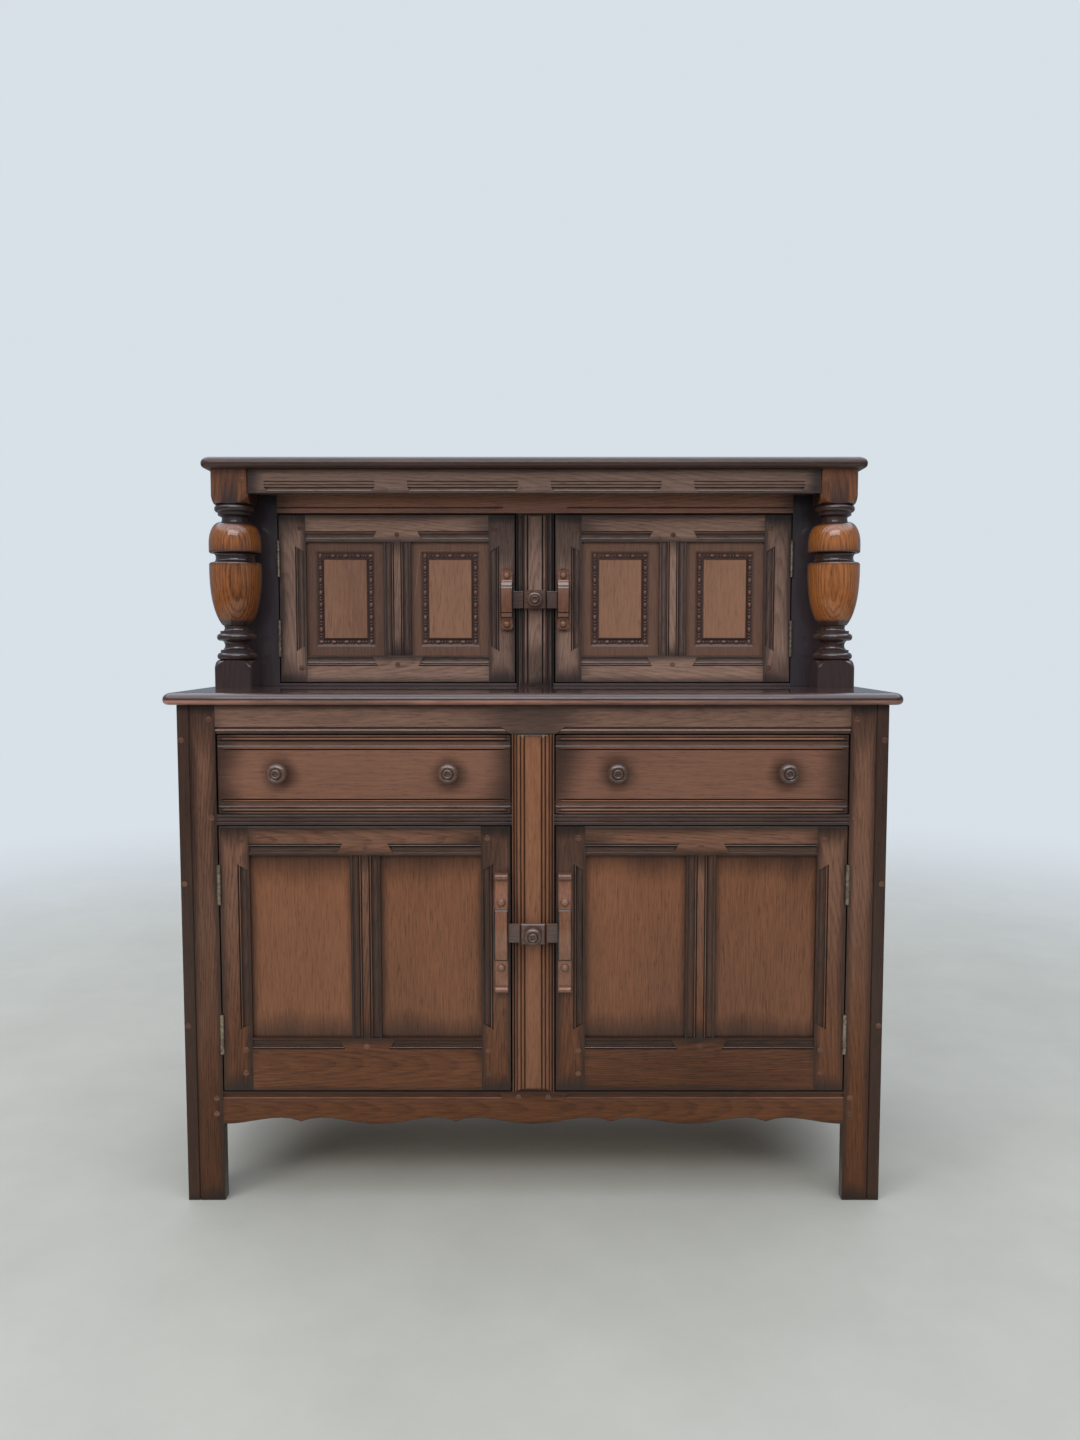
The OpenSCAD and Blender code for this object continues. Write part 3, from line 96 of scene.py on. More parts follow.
def srgb(code: str) -> Colour:
    """Turns a display colour into a linear one.

    Args:
        code: Six hexadecimal digits.

    Returns:
        Red, green, blue and an alpha of one.
    """
    parts = [int(code[i:i + 2], 16) / 255 for i in (0, 2, 4)]
    red, green, blue = (p / 12.92 if p <= 0.04045 else ((p + 0.055) / 1.055) ** 2.4 for p in parts)
    return red, green, blue, 1.0


def operator(operation: str, swapped: bool = False) -> Callable[..., "Wire"]:
    """Makes a method of Wire for a sign or a function of arithmetic.

    Args:
        operation: Operation of the Math or Vector Math node that it adds.
        swapped: Whether the wire stands on the right of the sign.

    Returns:
        The method.
    """
    def method(wire: "Wire", other: object = None) -> "Wire":
        """Adds the node for the wire and another wire, a number or nothing."""
        values = [v for v in ((other, wire) if swapped else (wire, other)) if v is not None]
        vector = any(isinstance(v, Wire) and v.socket.type in {"VECTOR", "RGBA"} for v in values)
        names = ("Vector", "Vector_001") if vector else ("Value", "Value_001")
        if vector:
            values = [v if isinstance(v, Wire) else (v, v, v) for v in values]
        kind = "ShaderNodeVectorMath" if vector else "ShaderNodeMath"
        return wire.graph.node(kind, {"operation": operation}, dict(zip(names, values)))
    return method


class Wire:
    """An output socket that takes part in Python expressions."""

    def __init__(self, graph: "Graph", socket: bpy.types.NodeSocket) -> None:
        """Keeps the socket and the graph that new nodes go into."""
        self.graph = graph
        self.socket = socket

    __add__, __radd__ = operator("ADD"), operator("ADD", True)
    __sub__, __rsub__ = operator("SUBTRACT"), operator("SUBTRACT", True)
    __mul__, __truediv__ = operator("MULTIPLY"), operator("DIVIDE")
    __pow__, __abs__ = operator("POWER"), operator("ABSOLUTE")
    least, most, fraction = operator("MINIMUM"), operator("MAXIMUM"), operator("FRACT")

    def ease(self, low: float, high: float) -> "Wire":
        """Rises smoothly from 0 at the low value to 1 at the high one."""
        return self.graph.node("ShaderNodeMapRange", {"interpolation_type": "SMOOTHSTEP"},
                               {"Value": self, "From Min": low, "From Max": high})


class Graph:
    """A node tree of any kind, and the one method that adds nodes to it."""

    def __init__(self, tree: bpy.types.NodeTree) -> None:
        """Empties the tree and keeps it."""
        self.tree = tree
        tree.nodes.clear()

    def node(self, kind: str, settings: dict | None = None, values: dict | None = None,
             output: int = 0) -> Wire:
        """Adds a node.

        Args:
            kind: The node's type.
            settings: Its properties, which are set first.
            values: Wires or constants by the identifier of the input socket.
            output: Number of the output that is wanted.

        Returns:
            That output.
        """
        made = self.tree.nodes.new(kind)
        for name, value in (settings or {}).items():
            setattr(made, name, value)
        sockets = {s.identifier: s for s in made.inputs}
        for name, value in (values or {}).items():
            if isinstance(value, Wire):
                self.tree.links.new(value.socket, sockets[name])
            else:
                sockets[name].default_value = value
        return Wire(self, made.outputs[output] if len(made.outputs) else None)

    def attribute(self, name: str, output: int = 2) -> Wire:
        """Reads a mesh attribute: output 2 is its number and 1 its vector."""
        return self.node("ShaderNodeAttribute", {"attribute_name": name}, output=output)

    def place(self) -> Wire:
        """Reads the piece's own coordinates."""
        return self.node("ShaderNodeTexCoord", output=3)

    def vector(self, x: object, y: object, z: object) -> Wire:
        """Joins three numbers."""
        return self.node("ShaderNodeCombineXYZ", values={"X": x, "Y": y, "Z": z})

    def split(self, vector: Wire) -> list[Wire]:
        """Splits a vector into its three numbers."""
        first = self.node("ShaderNodeSeparateXYZ", values={"Vector": vector})
        return [Wire(self, s) for s in first.socket.node.outputs]

    def noise(self, place: Wire, detail: float = 2.0, roughness: float = 0.5) -> Wire:
        """Reads smooth noise about one half, of one wave a unit, with finer layers of some weight."""
        return self.node("ShaderNodeTexNoise", values={
            "Vector": place, "Scale": 1.0, "Detail": detail, "Roughness": roughness})

    def mix(self, factor: object, first: object, second: object) -> Wire:
        """Blends two colours by the share of the second."""
        return self.node("ShaderNodeMix", {"data_type": "RGBA"}, {
            "Factor_Float": factor, "A_Color": first, "B_Color": second}, 2)

    def bump(self, strength: float, depth: float, height: Wire) -> Wire:
        """Tilts the surface's normal by a fine relief."""
        return self.node("ShaderNodeBump", values={"Strength": strength, "Distance": depth, "Height": height})

    def ball(self, segments: int, rings: int) -> Wire:
        """Adds a ball of radius one."""
        return self.node("GeometryNodeMeshUVSphere", values={
            "Segments": segments, "Rings": rings, "Radius": 1.0})

    def instances(self, points: Wire, piece: Wire, turn: Wire, **more: Wire) -> Wire:
        """Sets a piece on each point."""
        return self.node("GeometryNodeInstanceOnPoints", values={
            "Points": points, "Instance": piece, "Rotation": turn, **more})

    def random_turn(self, low: Triple, high: Triple, seed: int) -> Wire:
        """Draws an angle about each axis for every point."""
        return self.node("FunctionNodeRandomValue", {"data_type": "FLOAT_VECTOR"}, {
            "Min": low, "Max": high, "Seed": seed})


@dataclass(frozen=True)
class Finish:
    """A surface whose material is built the first time that it is asked for."""

    name: str

    def surface(self, g: Graph) -> Wire:
        """Adds the shader's nodes. Each kind of finish has its own."""
        raise NotImplementedError

    def material(self) -> bpy.types.Material:
        """Builds the material the first time.

        Returns:
            The material.
        """
        made = bpy.data.materials.get(self.name)
        if not made:
            made = bpy.data.materials.new(self.name)
            made.use_nodes = True
            g = Graph(made.node_tree)
            g.node("ShaderNodeOutputMaterial", values={"Surface": self.surface(g)})
        return made


@dataclass(frozen=True)
class Wood(Finish):
    """Stained wood under varnish, drawn from the attributes that a Marker leaves.

    The growth rings lie round a pith beside the board, so a flat-sawn face shows arches. Darker
    toner gathers along a board's edges and where a piece is shaded. In its grooves and gaps, and in
    halos, which are round places given by x, z and width, the darkening is toner with painted shade.
    The foot is a second, darker pair of colours for boards near the floor, painted shade. Arrises
    are lightened for wear and as a painted highlight. Fibres, pores and clouds are waves a metre
    along and across the grain.
    """

    light: str
    dark: str
    toner: str
    toning: Plan = (0.9, 0.75)
    rim: Plan = (45 * MM, 15 * MM)
    ring: float = 3.0 * MM
    pith: Plan = (0.0, 0.045)
    figure: float = 0.5
    fibres: Plan = (20.0, 330.0)
    pores: Plan = (50.0, 620.0)
    clouds: Plan = (2.6, 11.0)
    roughness: float = 0.42
    specular: float = 0.3
    coat: float = 0.6
    coat_roughness: float = 0.12
    coat_ior: float = 1.4
    # Colour of lightened arrises and bead crests: wear, with a painted highlight.
    rubbed: str = "94644a"
    relief: float = 0.16 * MM
    # Round dark places by x, z and width near knobs, fittings and columns and under the tops: toner with
    # painted shade.
    halos: tuple[Triple, ...] = ()
    # Darker, warmer colours for boards near the floor: painted shade towards the floor.
    foot: tuple[str, str] | None = None

    def surface(self, g: Graph) -> Wire:
        """Adds the stain, toner with painted shade, arrises lightened for wear and a painted highlight, pores
        and varnish.

        Args:
            g: The material's graph.

        Returns:
            The shader.
        """
        along, across, deep = g.split(g.attribute("grain", 1))
        tone = g.attribute("tone")
        seed = tone * 40.0
        (fibre_l, fibre_w), (pore_l, pore_w), (cloud_l, cloud_w) = self.fibres, self.pores, self.clouds
        fibre = g.noise(g.vector(along * fibre_l + seed, across * fibre_w, deep * fibre_w), 4.0, 0.6)
        pore = g.noise(g.vector(along * pore_l, across * pore_w, deep * pore_w + seed), 1.0).ease(0.56, 0.68)
        cloud = g.noise(g.vector(along * cloud_l + seed, across * cloud_w, deep * cloud_w), 3.0)
        late = self._late_wood(along, across, deep, tone, cloud)
        brightness = (0.6 + (fibre - 0.5) * 1.2 - late * (0.45 * self.figure) + (cloud - 0.5) * 0.9
                      + (tone - 0.5) * 0.4 - pore * 0.3)
        body = g.mix(brightness, srgb(self.dark), srgb(self.light))
        # Darker, warmer towards the floor: painted shade.
        if self.foot:
            height = g.split(g.place())[2]
            warm = g.mix(brightness, srgb(self.foot[1]), srgb(self.foot[0]))
            body = g.mix((height + (cloud - 0.5) * 0.3).ease(0.12, 0.6), warm, body)
        covered = self._toned(g, along, across, cloud)
        toner = g.mix(fibre, tuple(0.5 * c for c in srgb(self.toner)), srgb(self.toner))
        # Arrises and bead crests are lightened: wear, with a painted highlight.
        worn = (g.attribute("arris") * (1.0 - g.attribute("groove"))
                * ((fibre * 0.4 + cloud * 0.6).ease(0.42, 0.62) * 0.6 + 0.4))
        colour = g.mix(worn * 0.65, g.mix(covered, body, toner), srgb(self.rubbed))
        gloss = self.roughness + (cloud - 0.5) * 0.12 + (fibre - 0.5) * 0.1 + pore * 0.08
        relief = g.bump(0.7, self.relief, fibre * 0.6 - pore * 0.7 - late * 0.25)
        return g.node("ShaderNodeBsdfPrincipled", values={
            "Base Color": colour, "Roughness": gloss, "Normal": relief,
            "Specular IOR Level": self.specular, "Coat Weight": (covered * 0.9).most(self.coat),
            "Coat Roughness": self.coat_roughness, "Coat IOR": self.coat_ior})

    def _late_wood(self, along: Wire, across: Wire, deep: Wire, tone: Wire, cloud: Wire) -> Wire:
        """Draws the dark late wood of each growth ring.

        Args:
            along: Place along the grain.
            across: Place across the board.
            deep: Place through the board.
            tone: The board's own number.
            cloud: Slow noise.

        Returns:
            One in late wood and nought in early wood.
        """
        side = across + (tone - 0.5) * 0.09 + (cloud - 0.5) * 0.02 + self.pith[0]
        back = deep + self.pith[1] + tone * 0.03 + along * 0.05
        radius = (side * side + back * back) ** 0.5 + (cloud - 0.5) * 0.012
        ring = (radius / self.ring).fraction()
        return ring.ease(0.35, 0.9) * (1.0 - ring.ease(0.92, 1.0))

    def _toned(self, g: Graph, along: Wire, across: Wire, cloud: Wire) -> Wire:
        """Finds how much toner, with painted shade in mouldings, gaps, round dark places and near the floor,
        covers the stain.

        Args:
            g: The material's graph.
            along: Place along the grain.
            across: Place across the board.
            cloud: Slow noise.

        Returns:
            Cover from nought to one.
        """
        reach = g.split(g.attribute("reach", 1))
        drift = (cloud - 0.5) * 0.9
        end, side = (
            (1.0 - ((half - abs(place)) / width + drift).ease(0.0, 1.0)) * strength
            for half, place, width, strength in zip(reach, (along, across), self.rim, self.toning))
        # The shade attribute holds extra toner with painted shade of mouldings and near the floor; the other
        # attribute is painted shade of closed-in places and gaps.
        own = g.attribute("shade").most(g.attribute("groove")) + drift * 0.25
        cover = end.most(side).most(own)
        x, _, z = g.split(g.place())
        # Round dark places near knobs, fittings and columns and under the tops: toner with painted shade.
        for halo_x, halo_z, wide in self.halos:
            aside, above = abs(x) - halo_x, z - halo_z
            far = ((aside * aside + above * above) ** 0.5) / wide + drift * 0.3
            cover = cover.most((1.0 - far.ease(0.3, 1.0)) * 0.6)
        return cover.least(1.0).most(0.0)


@dataclass(frozen=True)
class Brass(Finish):
    """Sheet brass, dulled with age, browner in patches."""

    bright: str
    dull: str

    def surface(self, g: Graph) -> Wire:
        """Adds the metal.

        Args:
            g: The material's graph.

        Returns:
            The shader.
        """
        place = g.place()
        patch = g.noise(place * 160.0, 4.0, 0.6)
        rub = g.noise(place * 900.0, 2.0)
        colour = g.mix((patch + rub * 0.3).ease(0.5, 0.85), srgb(self.bright), srgb(self.dull))
        return g.node("ShaderNodeBsdfPrincipled", values={
            "Base Color": colour, "Metallic": 1.0, "Roughness": 0.36 + patch * 0.25,
            "Normal": g.bump(0.5, 0.05 * MM, rub)})


@dataclass(frozen=True)
class Ground(Finish):
    """A plain floor that fades out between two distances."""

    colour: str
    fade: Plan

    def surface(self, g: Graph) -> Wire:
        """Mixes the floor with nothing.

        Args:
            g: The material's graph.

        Returns:
            The shader.
        """
        place = g.place()
        away = g.node("ShaderNodeVectorMath", {"operation": "LENGTH"}, {"Vector": place}, 1)
        grit = g.noise(place * 3.0, 6.0, 0.65)
        dark, light = (tuple(k * c for c in srgb(self.colour)) for k in (0.82, 1.1))
        shader = g.node("ShaderNodeBsdfPrincipled", values={
            "Base Color": g.mix(grit, dark, light), "Roughness": 0.85})
        clear = g.node("ShaderNodeBsdfTransparent")
        return g.node("ShaderNodeMixShader", values={
            "Fac": away.ease(*self.fade), "Shader": shader, "Shader_001": clear})


STAINED = Wood("stained_oak", "7b5743", "472f24", "17100d", rim=(55 * MM, 17 * MM), specular=0.2, coat=0.4,
               halos=((0.56, 0.87, 0.13), (0.085, 0.6, 0.08)), foot=("70401f", "3c200d"))
PANEL = Wood("panel_oak", "83553a", "553524", "1f130d", toning=(0.75, 0.6), rim=(70 * MM, 26 * MM),
             ring=2.3 * MM, pith=(0.3, 0.03), figure=0.35, specular=0.2, coat=0.35)
DRAWER = Wood("drawer_oak", "7c5643", "563a2c", "21140f", toning=(0.8, 0.3), rim=(60 * MM, 12 * MM),
              pith=(0.3, 0.03), figure=0.2, specular=0.25, coat=0.5,
              halos=((0.140, 0.741, 0.04), (0.424, 0.741, 0.04)))
TOPS = Wood("top_oak", "5b3f35", "38251e", "1a120f", toning=(0.6, 0.5), figure=0.4, roughness=0.3,
            coat=1.0, coat_roughness=0.05, coat_ior=1.45, rubbed="b87f6c")
CANOPY = Wood("canopy_oak", "5b4138", "38261f", "1a120f", toning=(0.6, 0.5), figure=0.4, coat=0.5,
              coat_roughness=0.2)
RAIL = Wood("rail_oak", "826150", "4d382e", "1a1313", rim=(50 * MM, 12 * MM), ring=2.5 * MM, figure=0.25,
            halos=((0.0, 0.845, 0.12),))
PILASTER = Wood("pilaster_oak", "8f5f43", "5f3e2a", "17100d", toning=(0.9, 0.6), rim=(50 * MM, 9 * MM),
                figure=0.12, specular=0.2, coat=0.4)
FRAME = Wood("upper_oak", "957665", "5a4337", "1a1313", rim=(50 * MM, 16 * MM), ring=2.5 * MM,
             halos=((0.06, 1.16, 0.09), (0.0, 0.9, 0.08), (0.49, 1.2, 0.08), (0.49, 0.885, 0.07)))
# Lighter colours and a lighter toner than the wood's own, to make up for the canopy's shade in the recess:
# painted light.
LIT_RECESS = Wood("recess_oak", "b8846a", "805a48", "343036", toning=(0.5, 0.3))
PALE = Wood("pale_oak", "92694f", "654737", "241c21", toning=(0.0, 0.0), ring=2.3 * MM, pith=(0.3, 0.03),
            figure=0.35)
DARK = Wood("dark_oak", "7d5c4a", "493228", "171112", toning=(0.3, 0.3), coat=1.0, coat_roughness=0.07,
            coat_ior=1.6)
HANDLE = Wood("handle_oak", "8f5d40", "573321", "1a1110", toning=(0.5, 0.2), rim=(14 * MM, 4 * MM),
              coat=1.0, coat_roughness=0.08, coat_ior=1.6)
TURNED = Wood("turned_oak", "a5632f", "4f2a12", "2a2223", toning=(0.0, 0.0), ring=4.0 * MM,
              pith=(0.0, 0.12), figure=0.75, roughness=0.3, coat=1.0, coat_roughness=0.07, coat_ior=1.5)
BARE = Wood("bare_wood", "b08c63", "86653f", "5f472d", toning=(0.3, 0.3), roughness=0.7, coat=0.0)
BRASS = Brass("aged_brass", "b3a48e", "74675a")


def empty_object(name: str, data: bpy.types.ID) -> bpy.types.Object:
    """Links a new object that holds a mesh, lamp or camera, at the origin."""
    made = bpy.data.objects.new(name, data)
    bpy.context.scene.collection.objects.link(made)
    return made


def settled(thing: bpy.types.Object) -> bpy.types.Object:
    """Applies an object's modifiers, so that a plain mesh is left.

    Args:
        thing: The object.

    Returns:
        The same object.
    """
    mesh = bpy.data.meshes.new_from_object(thing.evaluated_get(bpy.context.evaluated_depsgraph_get()))
    thing.modifiers.clear()
    thing.data = mesh
    return thing


def boards(bm: BMesh) -> Iterator[list[bmesh.types.BMVert]]:
    """Walks through the separate solids of a mesh, in the order of their numbers.

    Args:
        bm: The mesh.

    Yields:
        The vertices of each solid.
    """
    seen: set[int] = set()
    bm.verts.index_update()
    for start in bm.verts:
        if start.index in seen:
            continue
        seen.add(start.index)
        found = [start]
        for vert in found:
            for edge in vert.link_edges:
                other = edge.other_vert(vert)
                if other.index not in seen:
                    seen.add(other.index)
                    found.append(other)
        yield found


@dataclass
class PaintedOcclusion:
    """Measures how closed in a place on the shut dresser is, for the painted shade there and the toner that
    gathers in it.
    """

    reach: float = 2.5 * MM
    count: int = 32
    lift: float = 0.05 * MM
    golden_angle: float = 2.39996
    tree: BVHTree = field(init=False)

    def __post_init__(self) -> None:
        """Joins the CAD's meshes into one tree."""
        places: list[Vector] = []
        faces: list[list[int]] = []
        for thing in frame["nodes"].values():
            start = len(places)
            places += [v.co.copy() for v in thing.data.vertices]
            faces += [[start + i for i in p.vertices] for p in thing.data.polygons]
        self.tree = BVHTree.FromPolygons(places, faces)

    def closed(self, place: Vector, normal: Vector) -> float:
        """Finds the share of short rays from a place that meet wood.

        Args:
            place: The place.
            normal: Its outward normal.

        Returns:
            Nought in the open and one in a narrow gap.
        """
        turn = normal.to_track_quat("Z", "Y")
        start = place + normal * self.lift
        met = 0
        for i in range(self.count):
            height = math.sqrt((i + 0.5) / self.count)
            wide, angle = math.sqrt(1 - height * height), i * self.golden_angle
            ray = turn @ Vector((wide * math.cos(angle), wide * math.sin(angle), height))
            met += self.tree.ray_cast(start, ray, self.reach)[0] is not None
        return met / self.count


@dataclass
class Marker:
    """Leaves the attributes that a Wood finish reads. Depths count back from a board's front.

    Attributes:
        hollows: The measure of closed-in places, for painted shade.
        start: Depth where a moulding's toner and painted shade start, and depth more that makes one unit.
        coves: Least toner and painted shade, and its height and fall a unit, between the quirks of a
            moulding.
        deepest: Units that are no moulding any more.
        flats: Width of a flat without toner, and width and area of part of a cut one.
        gaps: Closed share where the painted shade of a closed-in place starts, its gain, and most behind the
            near depth.
        near: That depth.
        crests: Width, depth, closed share and lightening of the crests of beads, for wear and a painted
            highlight.
        facing: Slopes of faces that look to the front, for flats and for crests.
    """

    hollows: PaintedOcclusion = field(default_factory=PaintedOcclusion)
    start: Plan = (0.6 * MM, 1.4 * MM)
    coves: Triple = (0.5, 2.0, 0.85)
    deepest: float = 5
    flats: Triple = (9 * MM, 4 * MM, 0.002)
    gaps: Triple = (0.06, 3.6, 0.5)
    near: float = 9 * MM
    crests: tuple[float, float, float, float] = (1.7 * MM, 1.2 * MM, 0.12, 0.7)
    facing: Plan = (-0.9, -0.75)

    def moulding(self, depth: float) -> float:
        """Gives a moulding's toner with painted shade: most in its quirks and less in its coves.

        Args:
            depth: Depth in the board.

        Returns:
            The toner with painted shade.
        """
        least, top, fall = self.coves
        sunk = (depth - self.start[0]) / self.start[1]
        return min(1.0, sunk, max(least, top - fall * sunk)) if 0 < sunk < self.deepest else 0.0

    def mark(self, bm: BMesh, seed: str, shade: Shade = 0.0, grooves: float = 0.0) -> None:
        """Marks each separate solid of a mesh as a board.

        Args:
            bm: The mesh.
            seed: Text that fixes the boards' own numbers.
            shade: Extra toner, also painted shade near the floor, or a function that gives it for a place.
            grooves: Toner with painted shade in the sunk parts of mouldings. Closed-in faces and gaps get
                painted shade in full, unless this is nought.
        """
        layers = bm.verts.layers
        grain, reach = layers.float_vector.new("grain"), layers.float_vector.new("reach")
        tone, dark = layers.float.new("tone"), layers.float.new("shade")
        groove = bm.faces.layers.float.new("groove")
        arris = bm.faces.layers.float.get("arris") or bm.faces.layers.float.new("arris")
        for number, verts in enumerate(boards(bm)):
            low = [min(v.co[i] for v in verts) for i in range(3)]
            half = [(max(v.co[i] for v in verts) - low[i]) / 2 for i in range(3)]
            order = sorted(range(3), key=lambda i: -round(half[i], 5))
            own = random.Random(f"{seed}{number}").random()
            for v in verts:
                v[grain] = [v.co[i] - low[i] - half[i] for i in order]
                v[reach] = [half[i] for i in order]
                v[tone] = own
                # Quirks and coves of mouldings get toner with painted shade.
                sunk = grooves * self.moulding(v.co.y - low[1])
                v[dark] = max(sunk, shade(v.co) if callable(shade) else shade)
            for face in {f for v in verts for f in v.link_faces} if grooves else ():
                self._mark_face(face, low[1], groove, arris)

    def _mark_face(self, face: bmesh.types.BMFace, front: float, groove: object, arris: object) -> None:
        """Marks how closed in a face is, as painted shade, and whether it is the crest of a bead, which gets
        a painted highlight.

        Args:
            face: The face.
            front: The board's foremost place.
            groove: Layer of the painted shade.
            arris: Layer of the wear and painted highlight.
        """
        area, centre = face.calc_area(), face.calc_center_median()
        wide = area / max(e.calc_length() for e in face.edges)
        broad, part, least = self.flats
        flat = wide > broad or (wide > part and area > least)
        if flat and face.normal.y < self.facing[0]:
            return
        # Closed-in faces, such as quirks and gaps, get painted shade.
        closed = self.hollows.closed(centre, face.normal)
        lowest, gain, half = self.gaps
        most = half if max(v.co.y for v in face.verts) > front + self.near else 1.0
        face[groove] = min(most, max(0.0, closed - lowest) * gain)
        # Narrow crests near the front are lightened: a painted highlight, with some wear.
        width, depth, share, wear = self.crests
        near = centre.y - front < depth
        if wide < width and near and closed < share and face.normal.y < self.facing[1]:
            face[arris] = max(face[arris], wear)


MARKER = Marker()


def publish(bm: BMesh, name: str, finish: Finish, body: str,
            nodes: Iterable[str] = (), crease: float = 38.0) -> None:
    """Makes a piece of a mesh and gives it its finish and body.

    Args:
        bm: The mesh, which is freed.
        name: The piece's name.
        finish: Its finish.
        body: The CAD body that it rides on.
        nodes: CAD nodes that it stands for.
        crease: Edges that turn by more degrees than this stay sharp.
    """
    for face in bm.faces:
        face.smooth = True
    for edge in bm.edges:
        edge.smooth = len(edge.link_faces) == 2 and edge.calc_face_angle() < math.radians(crease)
    mesh = bpy.data.meshes.new(name)
    bm.to_mesh(mesh)
    bm.free()
    mesh.materials.append(finish.material())
    piece = empty_object(name, mesh)
    piece.modifiers.new("weights", "WEIGHTED_NORMAL").keep_sharp = True
    settled(piece)
    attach(piece, body)
    if nodes:
        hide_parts(*nodes)
    LOG.info("%s rides on %s: %d faces", name, body, len(piece.data.polygons))


def body_of(node: str) -> str:
    """Names the CAD body that a node rides on."""
    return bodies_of(frame["nodes"][node])[0]


def stand_in(bm: BMesh, kind: str, node: str, finish: Finish, crease: float = 38.0) -> None:
    """Publishes a mesh in the place of a CAD node."""
    publish(bm, f"{kind}_{node}", finish, body_of(node), [node], crease)


@dataclass
class Joinery:
    """Dresses the CAD's own boards: arrises are eased and each board gets its grain."""

    arris: float = 0.8 * MM
    shortest: float = 9 * MM
    clear: float = 3 * MM
    corner: float = math.radians(60)
    front: float = -0.9
    rims: float = 60 * MM
    # Painted shade towards the floor: its most, and the height where it ends.
    low: Plan = (0.4, 0.45)
    crease: float = 26.0

    def board_mesh(self, node: str) -> BMesh:
        """Copies a node's mesh, merges its loose triangles into flat faces and adds the arris layer.

        Args:
            node: The CAD node.

        Returns:
            The merged mesh.
        """
        bm = bmesh.new()
        bm.from_mesh(frame["nodes"][node].data)
        bmesh.ops.remove_doubles(bm, verts=bm.verts, dist=0.002 * MM)
        bmesh.ops.dissolve_limit(bm, angle_limit=math.radians(0.5), verts=bm.verts, edges=bm.edges)
        bm.faces.layers.float.new("arris")
        return bm

    def ease(self, bm: BMesh, edges: list[bmesh.types.BMEdge], width: float, wear: float,
             segments: int = 2, clamp: bool = True) -> None:
        """Rounds edges and marks the new faces as arrises.

        Args:
            bm: The mesh.
            edges: The edges.
            width: Width of the rounding.
            wear: How much the arris is lightened, for wear and a painted highlight.
            segments: Number of faces across it.
            clamp: Whether it stops at other edges.
        """
        if edges:
            made = bmesh.ops.bevel(bm, geom=edges, offset=width, segments=segments, profile=0.5,
                                   affect="EDGES", clamp_overlap=clamp)
            arris = bm.faces.layers.float["arris"]
            for face in made["faces"]:
                face[arris] = wear

    def outer(self, bm: BMesh) -> list[bmesh.types.BMEdge]:
        """Finds the outer edges that have room for a rounding."""
        return [e for e in bm.edges if len(e.link_faces) == 2
                and e.calc_face_angle_signed() > self.corner and e.calc_length() > self.shortest
                and all(o.calc_length() > self.clear for v in e.verts for o in v.link_edges)]

    def dress(self, nodes: Iterable[str], finish: Finish, shade: Shade = 0.0, grooves: float = 1.0,
              fields: float = 0.0) -> None:
        """Makes the finished copies of CAD nodes.

        Args:
            nodes: The nodes.
            finish: Their finish.
            shade: Extra toner, or a function that gives it for a place.
            grooves: Toner with painted shade in the sunk parts of mouldings.
            fields: Width of a rim that is cut round the broad front faces, if any.
        """
        most, height = self.low

        def toner(place: Vector) -> float:
            """Adds painted shade to boards near the floor, which makes them darker."""
            own = shade(place) if callable(shade) else shade
            return own + most * max(0.0, 1 - place.z / height)

        for node in nodes:
            bm = self.board_mesh(node)
            self.ease(bm, self.outer(bm), self.arris, 1.0)
            if fields:
                broad = [f for f in bm.faces if f.normal.y < self.front and len(f.verts) == 4
                         and min(e.calc_length() for e in f.edges) > self.rims]
                bmesh.ops.inset_individual(bm, faces=broad, thickness=fields)
            MARKER.mark(bm, node, toner, grooves)
            stand_in(bm, "finished", node, finish, self.crease)


@dataclass
class Carcass:
    """The lower cupboard, the canopy and the upper cupboard, without tops and columns."""

    joinery: Joinery
    front: tuple[str, ...] = ("side_frames", "face_stiles", "apron")
    upper: tuple[str, ...] = ("upper_sides", "upper_pilaster")
    inside: tuple[str, ...] = ("cupboard_floor", "cupboard_back", "cupboard_shelf", "shelf_bearers",
                               "drawer_runners", "upper_back")
    sill: float = 0.95

    def build(self) -> None:
        """Dresses the boards."""
        dress = self.joinery.dress
        dress(self.front, STAINED)
        dress(["side_panels"], PANEL)
        dress(["top_rail", "drawer_rails"], RAIL)
        dress(["lower_pilaster"], PILASTER)
        dress(self.upper, FRAME)
        dress(["canopy_rails"], FRAME, shade=0.4)
        dress(["recess_rails"], LIT_RECESS, shade=lambda place: 0.9 if place.z < self.sill else 0.0)
        dress(["recess_stiles"], LIT_RECESS, shade=0.95)
        dress(self.inside, BARE, grooves=0.0)


